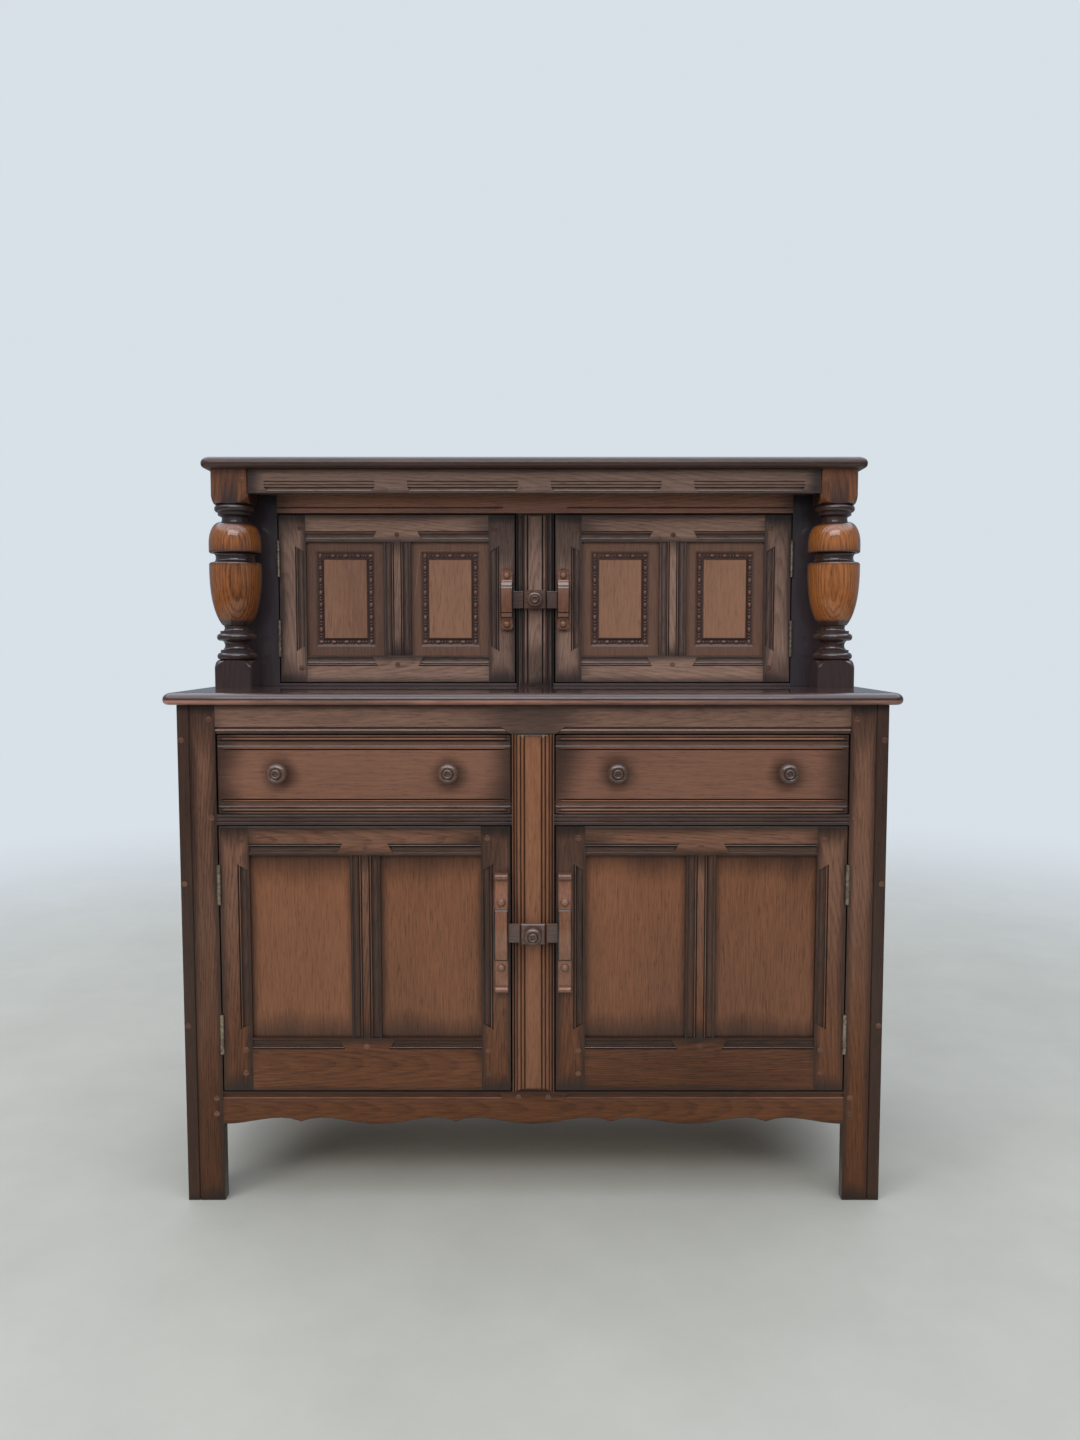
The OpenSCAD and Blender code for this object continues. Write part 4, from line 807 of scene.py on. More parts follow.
@dataclass
class Top:
    """A top with a thumb moulding that runs round its front corners."""

    node: str
    corner: float = 18 * MM
    sharpest: float = 0.6 * MM
    nose: Plan = (15 * MM, 11 * MM)
    under: float = 8 * MM
    rise: int = 6
    steps: int = 10
    rubbed: float = 0.0
    finish: Finish = TOPS

    def profile(self, thickness: float) -> list[Plan]:
        """Gives the moulding as insets from the edge and heights, from the underside up.

        Args:
            thickness: The top's thickness.

        Returns:
            The points.
        """
        wide, drop = self.nose
        turns = [math.radians(90 * i / self.rise) for i in range(self.rise + 1)]
        low = [(self.under * (1 - math.sin(a)), self.under * (1 - math.cos(a))) for a in turns]
        high = [(wide * (1 - math.sin(a)), thickness - drop + drop * math.sin(math.pi / 2 - a))
                for a in reversed(turns)]
        return low + high

    def outline(self, inset: float, low: Vector, high: Vector) -> list[Plan]:
        """Gives the plan of the top at one inset, from the back on the left round to the right.

        Args:
            inset: Distance in from the edge.
            low: Lowest corner of the top.
            high: Highest corner of the top.

        Returns:
            The points.
        """
        half, front = high.x - inset, low.y + inset
        radius = max(self.corner - inset, self.sharpest)
        turns = [math.radians(90 * i / self.steps) for i in range(self.steps + 1)]
        right = [(half - radius + radius * math.sin(a), front + radius - radius * math.cos(a)) for a in turns]
        left = [(-x, y) for x, y in reversed(right)]
        return [(-half, high.y), *left, *right, (half, high.y)]

    def build(self) -> None:
        """Lofts the top and dresses it."""
        low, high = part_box(self.node)
        bm = bmesh.new()
        rings = [[bm.verts.new((x, y, low.z + z)) for x, y in self.outline(inset, low, high)]
                 for inset, z in self.profile(high.z - low.z)]
        for below, above in zip(rings, rings[1:]):
            for i in range(len(below) - 1):
                bm.faces.new((below[i], below[i + 1], above[i + 1], above[i]))
        bm.faces.new(list(reversed(rings[0])))
        bm.faces.new(rings[-1])
        bm.faces.new([ring[-1] for ring in rings] + [ring[0] for ring in reversed(rings)])
        bmesh.ops.recalc_face_normals(bm, faces=bm.faces)
        arris = bm.faces.layers.float.new("arris")
        for face in bm.faces:
            face[arris] = self.rubbed if face.normal.z < -0.1 and face.normal.xy.length > 0.35 else 0.0
        MARKER.mark(bm, self.node)
        stand_in(bm, "finished", self.node, self.finish)


class Axis(Enum):
    """Which way a turned piece's own axis points."""

    UP = Matrix.Identity(3)
    FRONT = Matrix(((1, 0, 0), (0, 0, -1), (0, 1, 0)))


@dataclass
class Lathe:
    """Turns a profile round an axis."""

    centre: Vector
    axis: Axis
    angles: list[float] = field(default_factory=lambda: [math.tau * i / 48 for i in range(48)])

    def turn(self, rows: Sequence[Sequence[Plan]]) -> BMesh:
        """Builds the skin of a turned piece.

        Args:
            rows: For each row the radius and height at every angle. A row of radius nought is a pole.

        Returns:
            The closed mesh.
        """
        bm = bmesh.new()
        rings = [[bm.verts.new(self._place(0.0, row[0][1], 0.0))] if row[0][0] < WELD else
                 [bm.verts.new(self._place(r, h, a)) for (r, h), a in zip(row, self.angles)] for row in rows]
        count = len(self.angles)
        for below, above in zip(rings, rings[1:]):
            for i in range(count):
                j = (i + 1) % count
                corners = [below[i % len(below)], below[j % len(below)],
                           above[j % len(above)], above[i % len(above)]]
                bm.faces.new(list(dict.fromkeys(corners)))
        bmesh.ops.remove_doubles(bm, verts=bm.verts, dist=WELD)
        bmesh.ops.recalc_face_normals(bm, faces=bm.faces)
        return bm

    def _place(self, radius: float, height: float, angle: float) -> Vector:
        """Gives the place of a point of the profile turned to an angle."""
        own = Vector((radius * math.cos(angle), radius * math.sin(angle), height))
        return self.centre + self.axis.value @ own


def arc(x: float, y: float, rx: float, ry: float, start: float, end: float, steps: int) -> list[Plan]:
    """Gives points on an ellipse about a centre, from one angle in degrees to another."""
    turns = [math.radians(start + (end - start) * i / steps) for i in range(steps + 1)]
    return [(x + rx * math.cos(a), y + ry * math.sin(a)) for a in turns]


def sweep(a: Plan, b: Plan, c: Plan, d: Plan, steps: int) -> list[Plan]:
    """Gives points on a cubic curve.

    Args:
        a: Start.
        b: First handle.
        c: Second handle.
        d: End.
        steps: Number of steps.

    Returns:
        The points.
    """
    out = []
    for i in range(steps + 1):
        t = i / steps
        s = 1 - t
        weights = (s ** 3, 3 * s * s * t, 3 * s * t * t, t ** 3)
        out.append(tuple(sum(w * p[k] for w, p in zip(weights, (a, b, c, d))) for k in (0, 1)))
    return out


@dataclass
class Column:
    """A turned column: square blocks with turned shoulders, rings, a cup and its cover."""

    node: str
    height: float = 395 * MM
    block: float = 33.5 * MM
    chamfer: float = 3 * MM
    base: float = 51 * MM
    cap: float = 62 * MM
    shoulder: float = 28 * MM
    bulb: float = 47 * MM
    ring_r: float = 36 * MM
    neck: float = 23 * MM
    ring_h: float = 13 * MM
    fillet: float = 5 * MM
    cove: float = 17 * MM
    low_neck: float = 11 * MM
    waist: float = 17 * MM
    cover: float = 56 * MM
    high_neck: float = 13 * MM
    toned: Plan = (0.92, 0.5)
    soft: float = 5 * MM
    around: int = 96
    golden: list[Plan] = field(default_factory=list)

    def ring(self, z: float) -> list[Plan]:
        """Gives the profile of a ring moulding that starts at a height."""
        swell = self.ring_h * 0.45
        return arc(self.ring_r - swell, z + self.ring_h / 2, swell, self.ring_h / 2, -90, 90, 12)

    def profile(self) -> list[Plan]:
        """Draws the turned part between the blocks, and notes where it is golden.

        Returns:
            Radius and height of its points, from the bottom up.
        """
        fillet_r = self.neck + 7 * MM
        ring2 = self.base + self.ring_h + self.fillet + self.cove
        cup = ring2 + self.ring_h + self.fillet + self.low_neck
        ring1 = self.height - self.cap - self.ring_h
        cover_top = ring1 - self.fillet - self.high_neck
        cover = cover_top - self.cover
        rim = cover - self.waist
        tall = rim - cup
        r, n = self.bulb, self.neck
        self.golden = [(cup + 6 * MM, rim - 1 * MM), (cover + 1 * MM, cover_top - 5 * MM)]
        after = self.base + self.ring_h
        return [
            (self.ring_r - 6 * MM, self.base), *self.ring(self.base),
            (fillet_r, after), (fillet_r, after + self.fillet),
            *arc(n + 5 * MM, after + self.fillet + self.cove / 2, 6 * MM, self.cove / 2, 270, 90, 12),
            *self.ring(ring2), (fillet_r, ring2 + self.ring_h),
            (fillet_r, ring2 + self.ring_h + self.fillet),
            *arc(n + 3 * MM, cup - self.low_neck / 2, 4 * MM, self.low_neck / 2, 270, 90, 10),
            *sweep((n + 3.5 * MM, cup + 1 * MM), (r - 8 * MM, cup + 0.16 * tall),
                   (r + 0.5 * MM, cup + 0.44 * tall), (r, cup + 0.93 * tall), 24),
            *arc(r - 4 * MM, rim - 4 * MM, 4 * MM, 4 * MM, 0, 90, 6), (r - 9 * MM, rim),
            *arc(r - 8 * MM, (rim + cover) / 2, 4 * MM, self.waist / 2 - 1 * MM, 270, 90, 8),
            (r - 9 * MM, cover), *arc(r - 3 * MM, cover + 4 * MM, 3 * MM, 4 * MM, 270, 360, 6),
            *arc(n + 4 * MM, cover + 0.3 * self.cover, r - n - 4 * MM, 0.7 * self.cover, 0, 90, 16),
            (n + 1 * MM, cover_top), (n, cover_top + self.high_neck * 0.4),
            (n, cover_top + self.high_neck * 0.7), (fillet_r, ring1 - self.fillet), (fillet_r, ring1),
            *self.ring(ring1), (self.ring_r - 6 * MM, self.height - self.cap),
        ]

    def flat(self, angle: float) -> float:
        """Gives the distance from the axis to the chamfered square in one direction."""
        c, s = abs(math.cos(angle)), abs(math.sin(angle))
        return min(self.block / max(c, s), (2 * self.block - self.chamfer) / (c + s))

    def block_rows(self, angles: list[float], end: float, turn: float, steps: int = 8) -> list[list[Plan]]:
        """Gives the rows of one block, from its square end to its turned shoulder.

        Args:
            angles: The lathe's angles.
            end: Height of the square end.
            turn: Height of the turned end.
            steps: Number of steps in the shoulder.

        Returns:
            The rows.
        """
        corner, least = self.block * math.sqrt(2) + 0.1 * MM, self.block - 3 * MM
        start = turn - math.copysign(self.shoulder, turn - end)
        rows = [[(self.flat(a), end) for a in angles]]
        crossings = []
        for a in angles:
            share = (self.flat(a) - least) / (corner - least)
            crossings.append(turn if share < 0 else start + (turn - start) * math.sqrt(1 - share * share))
        for i in range(steps + 1):
            row = []
            for a, cross in zip(angles, crossings):
                z = cross + (turn - cross) * i / steps
                level = min(1.0, abs((z - start) / (turn - start)))
                worn = least + (corner - least) * math.sqrt(1 - level * level)
                row.append((min(self.flat(a), worn), z))
            rows.append(row)
        return rows

    def toner(self, z: float) -> float:
        """Leaves the bulbs golden, the upper block half dark and everything else dark.

        Args:
            z: Height above the column's foot.

        Returns:
            The toner.
        """
        most, cap = self.toned
        if z > self.height - self.cap + 2 * MM:
            return cap
        inside = max(min(z - low, high - z) for low, high in self.golden)
        return most * (1 - min(1.0, max(0.0, inside / self.soft)))

    def build(self) -> None:
        """Turns the column and dresses it."""
        low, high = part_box(self.node)
        foot = low.z + (high.z - low.z - self.height) / 2
        edge = math.atan((self.block - self.chamfer) / self.block)
        corners = [side * math.pi / 2 + turn * edge for side in range(4) for turn in (-1, 1)]
        angles = sorted({round(a % math.tau, 6) for a in
                         [math.tau * i / self.around for i in range(self.around)] + corners})
        lathe = Lathe(Vector(((low.x + high.x) / 2, (low.y + high.y) / 2, foot)), Axis.UP, angles)
        rows = [[(0.0, 0.0)], *self.block_rows(angles, 0.0, self.base)]
        rows += [[point] * len(angles) for point in self.profile()]
        rows += reversed(self.block_rows(angles, self.height, self.height - self.cap))
        rows.append([(0.0, self.height)])
        bm = lathe.turn(rows)
        MARKER.mark(bm, self.node, lambda place: self.toner(place.z - foot))
        stand_in(bm, "turned", self.node, TURNED)


@dataclass
class Knob:
    """A turned knob with a raised ring and a dimple, on its own or on a spindle with a keeper."""

    radius: float
    length: float
    neck: float

    def face(self, seat: float) -> list[Plan]:
        """Gives the knob's profile from its seat forward.

        Args:
            seat: Height of the seat.

        Returns:
            The points, which end on the axis.
        """
        r, t = self.radius, self.length
        points = [(self.neck + 2 * MM, 0.0), (self.neck, 0.12 * t), (self.neck, 0.25 * t),
                  *arc(r - 0.28 * t, 0.55 * t, 0.28 * t, 0.3 * t, 270, 450, 20),
                  (0.62 * r, 0.87 * t), (0.52 * r, 0.83 * t),
                  *arc(0.36 * r, 0.86 * t, 0.14 * r, 0.14 * t, 0, 180, 12),
                  (0.18 * r, 0.86 * t), (0.0, 0.82 * t)]
        return [(x, seat + z) for x, z in points]

    def turn(self, centre: Vector, before: Sequence[Plan] = ((0.0, 0.0),)) -> BMesh:
        """Turns the knob with its axis to the front.

        Args:
            centre: Where the profile starts.
            before: Profile of what carries the knob, from the axis out.

        Returns:
            The mesh.
        """
        lathe = Lathe(centre, Axis.FRONT)
        points = [*before, *self.face(before[-1][1])]
        return lathe.turn([[point] * len(lathe.angles) for point in points])


@dataclass
class Drawers:
    """Two drawers with moulded fronts and two knobs each."""

    joinery: Joinery
    knob: Knob = field(default_factory=lambda: Knob(17 * MM, 27 * MM, 8.5 * MM))

    def build(self) -> None:
        """Dresses the boards and turns the knobs."""
        for _, side in SIDES:
            self.joinery.dress([f"{side}_drawer_front"], DRAWER, grooves=0.8)
            self.joinery.dress([f"{side}_drawer_sides", f"{side}_drawer_bottom"], BARE, grooves=0.0)
            node = f"{side}_drawer_knobs"
            low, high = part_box(node)
            both = bmesh.new()
            for x in (low.x + self.knob.radius, high.x - self.knob.radius):
                one = self.knob.turn(Vector((x, high.y, (low.z + high.z) / 2)))
                mesh = bpy.data.meshes.new(node)
                one.to_mesh(mesh)
                one.free()
                both.from_mesh(mesh)
            MARKER.mark(both, node, 0.45)
            stand_in(both, "turned", node, DARK)


@dataclass
class Latches:
    """Two turning blocks on spindles, with a knob in front and a keeper behind."""

    joinery: Joinery
    knob: Knob = field(default_factory=lambda: Knob(15.5 * MM, 23 * MM, 9 * MM))
    spindle: float = 6 * MM
    keeper: Plan = (14 * MM, 7 * MM)
    seat: float = 45.3 * MM

    def build(self) -> None:
        """Dresses the blocks and turns the knobs."""
        wide, thick = self.keeper
        carrier = [(0.0, 0.0), (wide, 0.0), (wide, thick), (self.spindle, thick), (self.spindle, self.seat)]
        for level in LEVELS:
            self.joinery.dress([f"{level}_turn_block"], DARK, shade=0.45, grooves=0.0)
            node = f"{level}_turn_knob"
            low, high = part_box(node)
            bm = self.knob.turn(Vector((0.0, high.y, (low.z + high.z) / 2)), carrier)
            MARKER.mark(bm, node, 0.35)
            stand_in(bm, "turned", node, DARK)


@dataclass
class Doors:
    """Four framed doors with their catches and handles."""

    joinery: Joinery
    borders: "CarvedBorders"
    rim: float = 2.4 * MM
    rounding: float = 2.2 * MM
    seam: Plan = (0.207, 1.0 * MM)

    def build(self) -> None:
        """Dresses the boards of each door."""
        dress = self.joinery.dress
        for _, side in SIDES:
            lower, upper = (f"{side}_{level}_door_" for level in LEVELS)
            dress([f"{lower}stiles", f"{lower}rails"], STAINED)
            dress([f"{lower}panels"], PANEL)
            dress([f"{upper}stiles", f"{upper}rails"], FRAME)
            dress([f"{upper}panels"], PALE, shade=self.borders.toner, fields=self.rim)
            for level in LEVELS:
                dress([f"{side}_{level}_catch"], DARK, shade=0.4, grooves=0.0)
                self.handle(f"{side}_{level}_handle")

    def handle(self, node: str) -> None:
        """Rounds the long edges of a handle, cuts the seams at its pads, paints shade into them and dresses
        it.

        Args:
            node: The CAD node.
        """
        bm = self.joinery.board_mesh(node)
        low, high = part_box(node)
        sides = [e for e in bm.edges if len(e.link_faces) == 2
                 and e.calc_face_angle() > self.joinery.corner
                 and any(all(abs(v.co.x - x) < 0.05 * MM for v in e.verts) for x in (low.x, high.x))
                 and max(v.co.y for v in e.verts) < high.y - 0.5 * MM]
        self.joinery.ease(bm, sides, self.rounding, 0.4, segments=4, clamp=False)
        MARKER.mark(bm, node, 0.05, 0.3)
        groove = bm.faces.layers.float["groove"]
        share, deep = self.seam
        middle, tall = (low.z + high.z) / 2, high.z - low.z
        for seam in (middle - share * tall, middle + share * tall):
            for z in (seam - deep, seam, seam + deep):
                bmesh.ops.bisect_plane(bm, geom=bm.verts[:] + bm.edges[:] + bm.faces[:],
                                       plane_co=(0.0, 0.0, z), plane_no=(0.0, 0.0, 1.0))
            for vert in bm.verts:
                if abs(vert.co.z - seam) < 0.01 * MM and vert.normal.y < -0.3:
                    vert.co.y += deep
            # The seam faces get full painted shade, for the shadow line at each step.
            for face in bm.faces:
                if abs(face.calc_center_median().z - seam) < deep:
                    face[groove] = 1.0
        stand_in(bm, "finished", node, HANDLE)


class TreeTool:
    """A Geometry Nodes tree with named inputs, run on points or edges to give a plain mesh."""

    def __init__(self, name: str, inputs: dict[str, float],
                 build: Callable[[Graph, dict[str, Wire]], Wire]) -> None:
        """Builds the tree.

        Args:
            name: The tree's name.
            inputs: Its named sizes and their defaults.
            build: Function that adds the nodes and returns the geometry.
        """
        self.tree = bpy.data.node_groups.new(name, "GeometryNodeTree")
        face = self.tree.interface
        face.new_socket("Geometry", in_out="INPUT", socket_type="NodeSocketGeometry")
        face.new_socket("Geometry", in_out="OUTPUT", socket_type="NodeSocketGeometry")
        for label, value in inputs.items():
            face.new_socket(label, in_out="INPUT", socket_type="NodeSocketFloat").default_value = value
        face.new_socket("Finish", in_out="INPUT", socket_type="NodeSocketMaterial")
        graph = Graph(self.tree)
        group = graph.node("NodeGroupInput").socket.node
        wires = {s.name: Wire(graph, s) for s in group.outputs if s.name}
        real = graph.node("GeometryNodeRealizeInstances", values={"Geometry": build(graph, wires)})
        painted = graph.node("GeometryNodeSetMaterial", values={
            "Geometry": real, "Material": wires["Finish"]})
        out = self.tree.nodes.new("NodeGroupOutput")
        self.tree.links.new(painted.socket, out.inputs[0])

    def stamp(self, name: str, body: str, slot: str, finish: Finish, points: Sequence[Vector],
              edges: Sequence[tuple[int, int]] = (), shade: float = 0.0, size: Triple | None = None) -> None:
        """Runs the tree and publishes the result.

        Args:
            name: The piece's name.
            body: The body that it rides on.
            slot: The record's material slot. It is not used.
            finish: Its finish.
            points: Places of the vertices that the tree gets.
            edges: Edges between them.
            shade: Extra toner.
            size: The vertices' size attribute, if the tree reads one.
        """
        mesh = bpy.data.meshes.new(self.tree.name)
        mesh.from_pydata(points, edges, [])
        if size:
            for item in mesh.attributes.new("size", "FLOAT_VECTOR", "POINT").data:
                item.vector = size
        carrier = empty_object(self.tree.name, mesh)
        modifier = carrier.modifiers.new("tree", "NODES")
        modifier.node_group = self.tree
        ids = {s.name: s.identifier for s in self.tree.interface.items_tree if s.in_out == "INPUT"}
        modifier[ids["Finish"]] = finish.material()
        bm = bmesh.new()
        bm.from_mesh(settled(carrier).data)
        bpy.data.objects.remove(carrier)
        bmesh.ops.remove_doubles(bm, verts=bm.verts, dist=WELD)
        MARKER.mark(bm, name, shade, grooves=0.0 if finish is BRASS else 0.5)
        publish(bm, name, finish, body)


@dataclass
class CarvedBorders:
    """The bead-and-reel carved in the channels of the upper panels."""

    pitch: float = 22.5 * MM
    bead: Triple = (5.4 * MM, 2.9 * MM, 3.7 * MM)
    reel: Plan = (3.1 * MM, 1.9 * MM)
    margin: float = 17 * MM
    channel: float = 17 * MM
    squeezed: float = 0.85
    apart: float = 1.35
    toned: Plan = (0.82, 0.5)
    inset: float = 25.5 * MM
    floor: float = 50 * MM
    openings: tuple[Plan, ...] = ((87.9 * MM, 234.5 * MM), (286.5 * MM, 433.1 * MM))
    heights: Plan = (933 * MM, 1147 * MM)

    def tree(self) -> TreeTool:
        """Builds the tree that strings beads and reels along straight edges.

        Returns:
            The tree.
        """
        def build(g: Graph, wires: dict[str, Wire]) -> Wire:
            """Resamples each edge to the pitch and puts a bead and two reels at each point."""
            curve = g.node("GeometryNodeMeshToCurve", values={"Mesh": wires["Geometry"]})
            count = g.node("ShaderNodeMath", {"operation": "ROUND"}, {
                "Value": g.node("GeometryNodeSplineLength") / wires["Pitch"]}) + 1.0
            points = g.node("GeometryNodeResampleCurve", values={"Curve": curve, "Count": count})
            turn = g.node("FunctionNodeAlignRotationToVector", {"axis": "X"}, {
                "Vector": g.node("GeometryNodeInputTangent")})
            wide, round_ = wires["Reel Width"], wires["Reel Radius"]
            parts = [g.node("GeometryNodeTransform", values={
                "Geometry": g.ball(16, 10),
                "Scale": g.vector(wires["Bead Length"], wires["Bead Height"], wires["Bead Width"])})]
            parts += [g.node("GeometryNodeTransform", values={
                "Geometry": g.ball(14, 8), "Scale": g.vector(wide, round_ * self.squeezed, round_),
                "Translation": g.vector(wires["Pitch"] / 2.0 + wide * (self.apart * side), 0.0, 0.0)})
                for side in (-1.0, 1.0)]
            unit = g.node("GeometryNodeJoinGeometry")
            for part in parts:
                g.tree.links.new(part.socket, unit.socket.node.inputs[0])
            return g.instances(points, unit, turn)
        length, height, width = self.bead
        return TreeTool("bead_and_reel", {
            "Pitch": self.pitch, "Bead Length": length, "Bead Height": height, "Bead Width": width,
            "Reel Radius": self.reel[0], "Reel Width": self.reel[1]}, build)

    def toner(self, place: Vector) -> float:
        """Gives the toner of an upper panel: none on the field, most in the channel.

        Args:
            place: A place on the panel.

        Returns:
            The toner.
        """
        x, (low, high) = abs(place.x), self.heights
        inset = max(min(x - x0, x1 - x, place.z - low, high - place.z) for x0, x1 in self.openings)
        if inset > self.margin + self.channel:
            return 0.0
        return self.toned[0] if inset > self.margin + 1 * MM else self.toned[1]

    def rims(self, side: int) -> tuple[list[Vector], list[tuple[int, int]]]:
        """Gives the four straight runs of beads on both panels of one door.

        Args:
            side: 1 for the right-hand door and -1 for the left.

        Returns:
            The runs' ends and edges.
        """
        points: list[Vector] = []
        for x0, x1 in self.openings:
            xs = sorted((side * (x0 + self.inset), side * (x1 - self.inset)))
            zs = self.heights[0] + self.inset, self.heights[1] - self.inset
            loop = [Vector((xs[i], self.floor, zs[j])) for i, j in ((0, 0), (1, 0), (1, 1), (0, 1))]
            for start, end in zip(loop, loop[1:] + loop[:1]):
                run = end - start
                points += [start, end - run / round(run.length / self.pitch)]
        return points, [(i, i + 1) for i in range(0, len(points), 2)]

    def build(self) -> None:
        """Carves the borders of both doors."""
        tool = self.tree()
        for side, name in SIDES:
            tool.stamp(f"{name}_carved_border", f"{name}_upper_door", "pale_wood", PALE,
                       *self.rims(side), shade=0.8)


@dataclass
class Pegs:
    """Pegs through the joints, nearly flush, and the domed pegs that hold the handles.

    The sizes are radius and rise. The places are in millimetres: distance from the middle and
    height, or depth and height for the handles' pegs.
    """

    joint: Plan = (4.8 * MM, 0.5 * MM)
    domed: Plan = (7.0 * MM, 5.2 * MM)
    faces: dict[str, float] = field(default_factory=lambda: {
        "lower": -221 * MM, "upper": 40 * MM, "canopy": -43 * MM})
    carcass: tuple[Plan, ...] = ((587.5, 795.5), (587.5, 552), (587.5, 307), (541, 830), (540, 664.5),
                                 (541.5, 180.5), (542, 153), (25.4, 182.5))
    lower: tuple[Plan, ...] = ((489.5, 627), (283, 614.5), (76.8, 630.5), (490, 265), (490.5, 225),
                               (284, 271), (76.5, 264), (76.5, 223.5))
    upper: tuple[Plan, ...] = ((443, 1173), (260.5, 1160), (75.5, 1171), (443, 909.5), (261, 916))
    canopy: tuple[Plan, ...] = ((529, 1249),)
    handles: dict[str, tuple[Plan, ...]] = field(default_factory=lambda: {
        "lower": ((-239.5, 525), (-239.5, 414)), "upper": ((31, 1083.5), (31, 992.5))})
    handle_x: float = 53.25

    def tree(self) -> TreeTool:
        """Builds the tree that sets a domed peg on each point.

        Returns:
            The tree.
        """
        def build(g: Graph, wires: dict[str, Wire]) -> Wire:
            """Puts a flattened ball on each point, turned at random about its axis."""
            size = g.node("GeometryNodeInputNamedAttribute", {"data_type": "FLOAT_VECTOR"}, {"Name": "size"})
            turn = g.random_turn((0.0, 0.0, 0.0), (0.0, math.tau, 0.0), 7)
            wobble = g.node("FunctionNodeRandomValue", {"data_type": "FLOAT"}, {
                "Min_001": 0.92, "Max_001": 1.08, "Seed": 11}, 1)
            return g.instances(wires["Geometry"], g.ball(20, 12), turn,
                               Scale=size * (wobble * wires["Girth"]))
        return TreeTool("set_pegs", {"Girth": 1.0}, build)

    def spots(self, plans: Iterable[Plan], y: float, sides: Iterable[int]) -> list[Vector]:
        """Places pegs on a face, on one side or both."""
        return [Vector((side * x * MM, y, z * MM)) for side in sides for x, z in plans]

    def build(self) -> None:
        """Sets the pegs of every body."""
        tool = self.tree()
        (radius, rise), (wide, dome), both = self.joint, self.domed, (-1, 1)
        carcass = self.spots(self.carcass, self.faces["lower"], both)
        carcass += self.spots(self.canopy, self.faces["canopy"], both)
        tool.stamp("carcass_pegs", "carcass", "dark_wood", STAINED, carcass, shade=0.6,
                   size=(radius, rise, radius))
        for side, name in SIDES:
            for level, plans in zip(LEVELS, (self.lower, self.upper)):
                body = f"{name}_{level}_door"
                tool.stamp(f"{body}_pegs", body, "dark_wood", STAINED,
                           self.spots(plans, self.faces[level], (side,)), shade=0.6,
                           size=(radius, rise, radius))
                domes = [Vector((side * self.handle_x * MM, y * MM, z * MM)) for y, z in self.handles[level]]
                tool.stamp(f"{body}_handle_pegs", body, "pale_wood", PALE, domes, shade=0.1,
                           size=(wide, dome, wide))


@dataclass
class Hinges:
    """Brass butt hinges, and the countersunk screws in their leaves."""

    joinery: Joinery
    head: Plan = (3.2 * MM, 0.12 * MM)
    slot_width: float = 0.8 * MM
    pins: dict[str, float] = field(default_factory=lambda: {"lower": 529.3 * MM, "upper": 484.3 * MM})
    gap: float = 0.2 * MM
    length: float = 68 * MM
    leaf_back: float = 6.5 * MM
    screws: int = 3

    def tree(self) -> TreeTool:
        """Builds the tree that sets a slotted screw head on each point.

        Returns:
            The tree.
        """
        def build(g: Graph, wires: dict[str, Wire]) -> Wire:
            """Cuts a slot in a disc and sets it on each point, turned at random."""
            disc = g.node("GeometryNodeMeshCylinder", values={
                "Vertices": 24, "Radius": wires["Radius"], "Depth": wires["Rise"] * 2.0})
            cutter = g.node("GeometryNodeMeshCube", values={
                "Size": g.vector(wires["Radius"] * 3.0, wires["Slot"], wires["Rise"] * 4.0)})
            head = g.node("GeometryNodeMeshBoolean", {"operation": "DIFFERENCE"}, {
                "Mesh 1": disc, "Mesh 2": cutter})
            turn = g.random_turn((0.0, math.pi / 2, 0.0), (math.tau, math.pi / 2, 0.0), 3)
            return g.instances(wires["Geometry"], head, turn)
        return TreeTool("set_screws", {"Radius": self.head[0], "Rise": self.head[1],
                                       "Slot": self.slot_width}, build)

    def places(self, node: str, side: int, level: str, facing: int) -> list[Vector]:
        """Gives the screws of each leaf.

        Args:
            node: The door's hinge node.
            side: 1 for the right-hand door and -1 for the left.
            level: Lower or upper.
            facing: 1 for the leaf on the frame and -1 for the leaf on the door.

        Returns:
            The places of the heads.
        """
        low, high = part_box(node)
        pitch = self.length / self.screws
        x, y = side * (self.pins[level] + facing * self.gap), high.y - self.leaf_back
        return [Vector((x, y, start + (i + 0.5) * pitch)) for start in (low.z, high.z - self.length)
                for i in range(self.screws)]

    def build(self) -> None:
        """Dresses the leaves and sets their screws."""
        tool = self.tree()
        self.joinery.dress(["frame_hinge_leaves"], BRASS, grooves=0.0)
        on_frame: list[Vector] = []
        for side, name in SIDES:
            for level in LEVELS:
                node = f"{name}_{level}_hinges"
                self.joinery.dress([node], BRASS, grooves=0.0)
                on_frame += self.places(node, side, level, 1)
                tool.stamp(f"{name}_{level}_hinge_screws", f"{name}_{level}_door", "brass", BRASS,
                           self.places(node, side, level, -1))
        tool.stamp("frame_hinge_screws", "carcass", "brass", BRASS, on_frame)


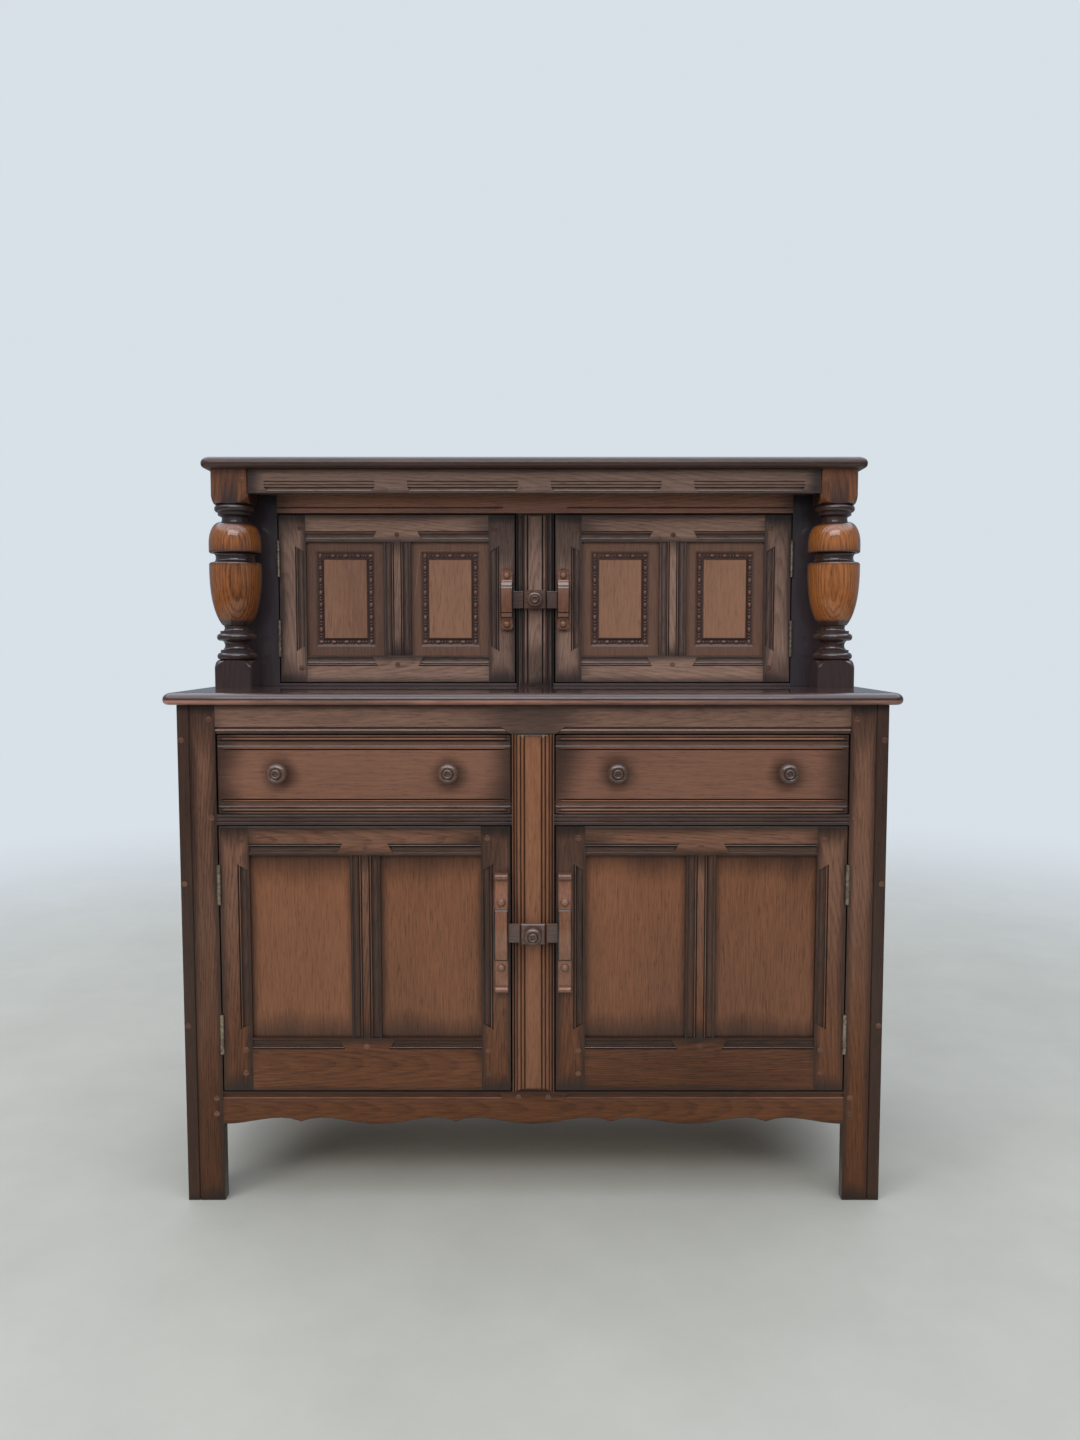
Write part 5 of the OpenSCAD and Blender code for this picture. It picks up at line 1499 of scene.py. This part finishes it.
@dataclass
class Studio:
    """A pale floor that fades into a pale surround, soft light, and the camera."""

    eye: Triple = (0.030, -2.016, 0.962)
    pitch: float = 4.225
    lens: float = 27.0
    sensor: float = 36.0
    shift: float = -0.0076
    aim: Triple = (0.0, 0.0, 0.7)
    lamps: tuple[tuple[str, Triple, float, Plan], ...] = (
        ("left", (-3.2, -3.0, 2.1), 7.0, (2.0, 2.0)), ("right", (3.2, -3.2, 1.7), 3.0, (2.0, 2.0)),
        ("front", (-0.2, -3.2, 3.3), 3.5, (3.0, 1.2)))
    wall: str = "d8e0e8"
    ground: Finish = Ground("floor", "a3a095", (1.4, 4.2))
    radius: float = 7.0

    def camera(self) -> None:
        """Puts the camera where the photograph was taken from."""
        data = bpy.data.cameras.new("camera")
        data.lens, data.sensor_width, data.shift_x = self.lens, self.sensor, self.shift
        made = empty_object("camera", data)
        made.location = self.eye
        made.rotation_euler = (math.radians(90 - self.pitch), 0.0, 0.0)
        bpy.context.scene.camera = made

    def floor(self) -> None:
        """Lays a round floor whose rim fades out."""
        bm = bmesh.new()
        bmesh.ops.create_circle(bm, cap_ends=True, segments=96, radius=self.radius)
        mesh = bpy.data.meshes.new("floor")
        bm.to_mesh(mesh)
        bm.free()
        mesh.materials.append(self.ground.material())
        empty_object("floor", mesh)

    def light(self) -> None:
        """Hangs soft lamps on each side in front and high up in front."""
        for name, place, radiance, size in self.lamps:
            data = bpy.data.lights.new(name, "AREA")
            data.shape, data.size, data.size_y = "RECTANGLE", *size
            data.energy = radiance * math.pi * size[0] * size[1]
            lamp = empty_object(name, data)
            lamp.location = place
            lamp.visible_glossy = name == "front"
            lamp.rotation_euler = (Vector(self.aim) - Vector(place)).to_track_quat("-Z", "Y").to_euler()

    def sky(self) -> None:
        """Lights the scene from a sky that is brighter above, and shows a pale wall behind."""
        world = bpy.data.worlds.new("sky")
        world.use_nodes = True
        bpy.context.scene.world = world
        g = Graph(world.node_tree)
        up = g.split(g.node("ShaderNodeTexCoord", output=0))[2]
        low, level, high = (0.1, 0.1, 0.1, 1.0), (0.19, 0.215, 0.26, 1.0), (1.75, 1.92, 2.2, 1.0)
        above = g.mix(up.ease(0.48, 0.68), level, high)
        light = g.mix(up.ease(-0.25, 0.02), low, above)
        shown, lit = (g.node("ShaderNodeBackground", values={"Color": colour, "Strength": 1.0})
                      for colour in (srgb(self.wall), light))
        both = g.node("ShaderNodeMixShader", values={
            "Fac": g.node("ShaderNodeLightPath"), "Shader": lit, "Shader_001": shown})
        g.node("ShaderNodeOutputWorld", values={"Surface": both})

    def build(self) -> None:
        """Sets up the whole studio."""
        self.camera()
        self.floor()
        self.light()
        self.sky()
        bpy.context.scene.view_settings.view_transform = "Standard"


def main() -> None:
    """Builds the studio and every sub-assembly in order."""
    logging.basicConfig(level=logging.INFO, format="%(message)s", stream=sys.stdout)
    joinery, borders = Joinery(), CarvedBorders()
    for part in (Studio(), Carcass(joinery), Top("lower_top", rubbed=1.0), Top("upper_top", finish=CANOPY),
                 Column("left_column"), Column("right_column"), Doors(joinery, borders), borders,
                 Drawers(joinery), Latches(joinery), Hinges(joinery), Pegs()):
        part.build()


if __name__ == "__main__":
    main()
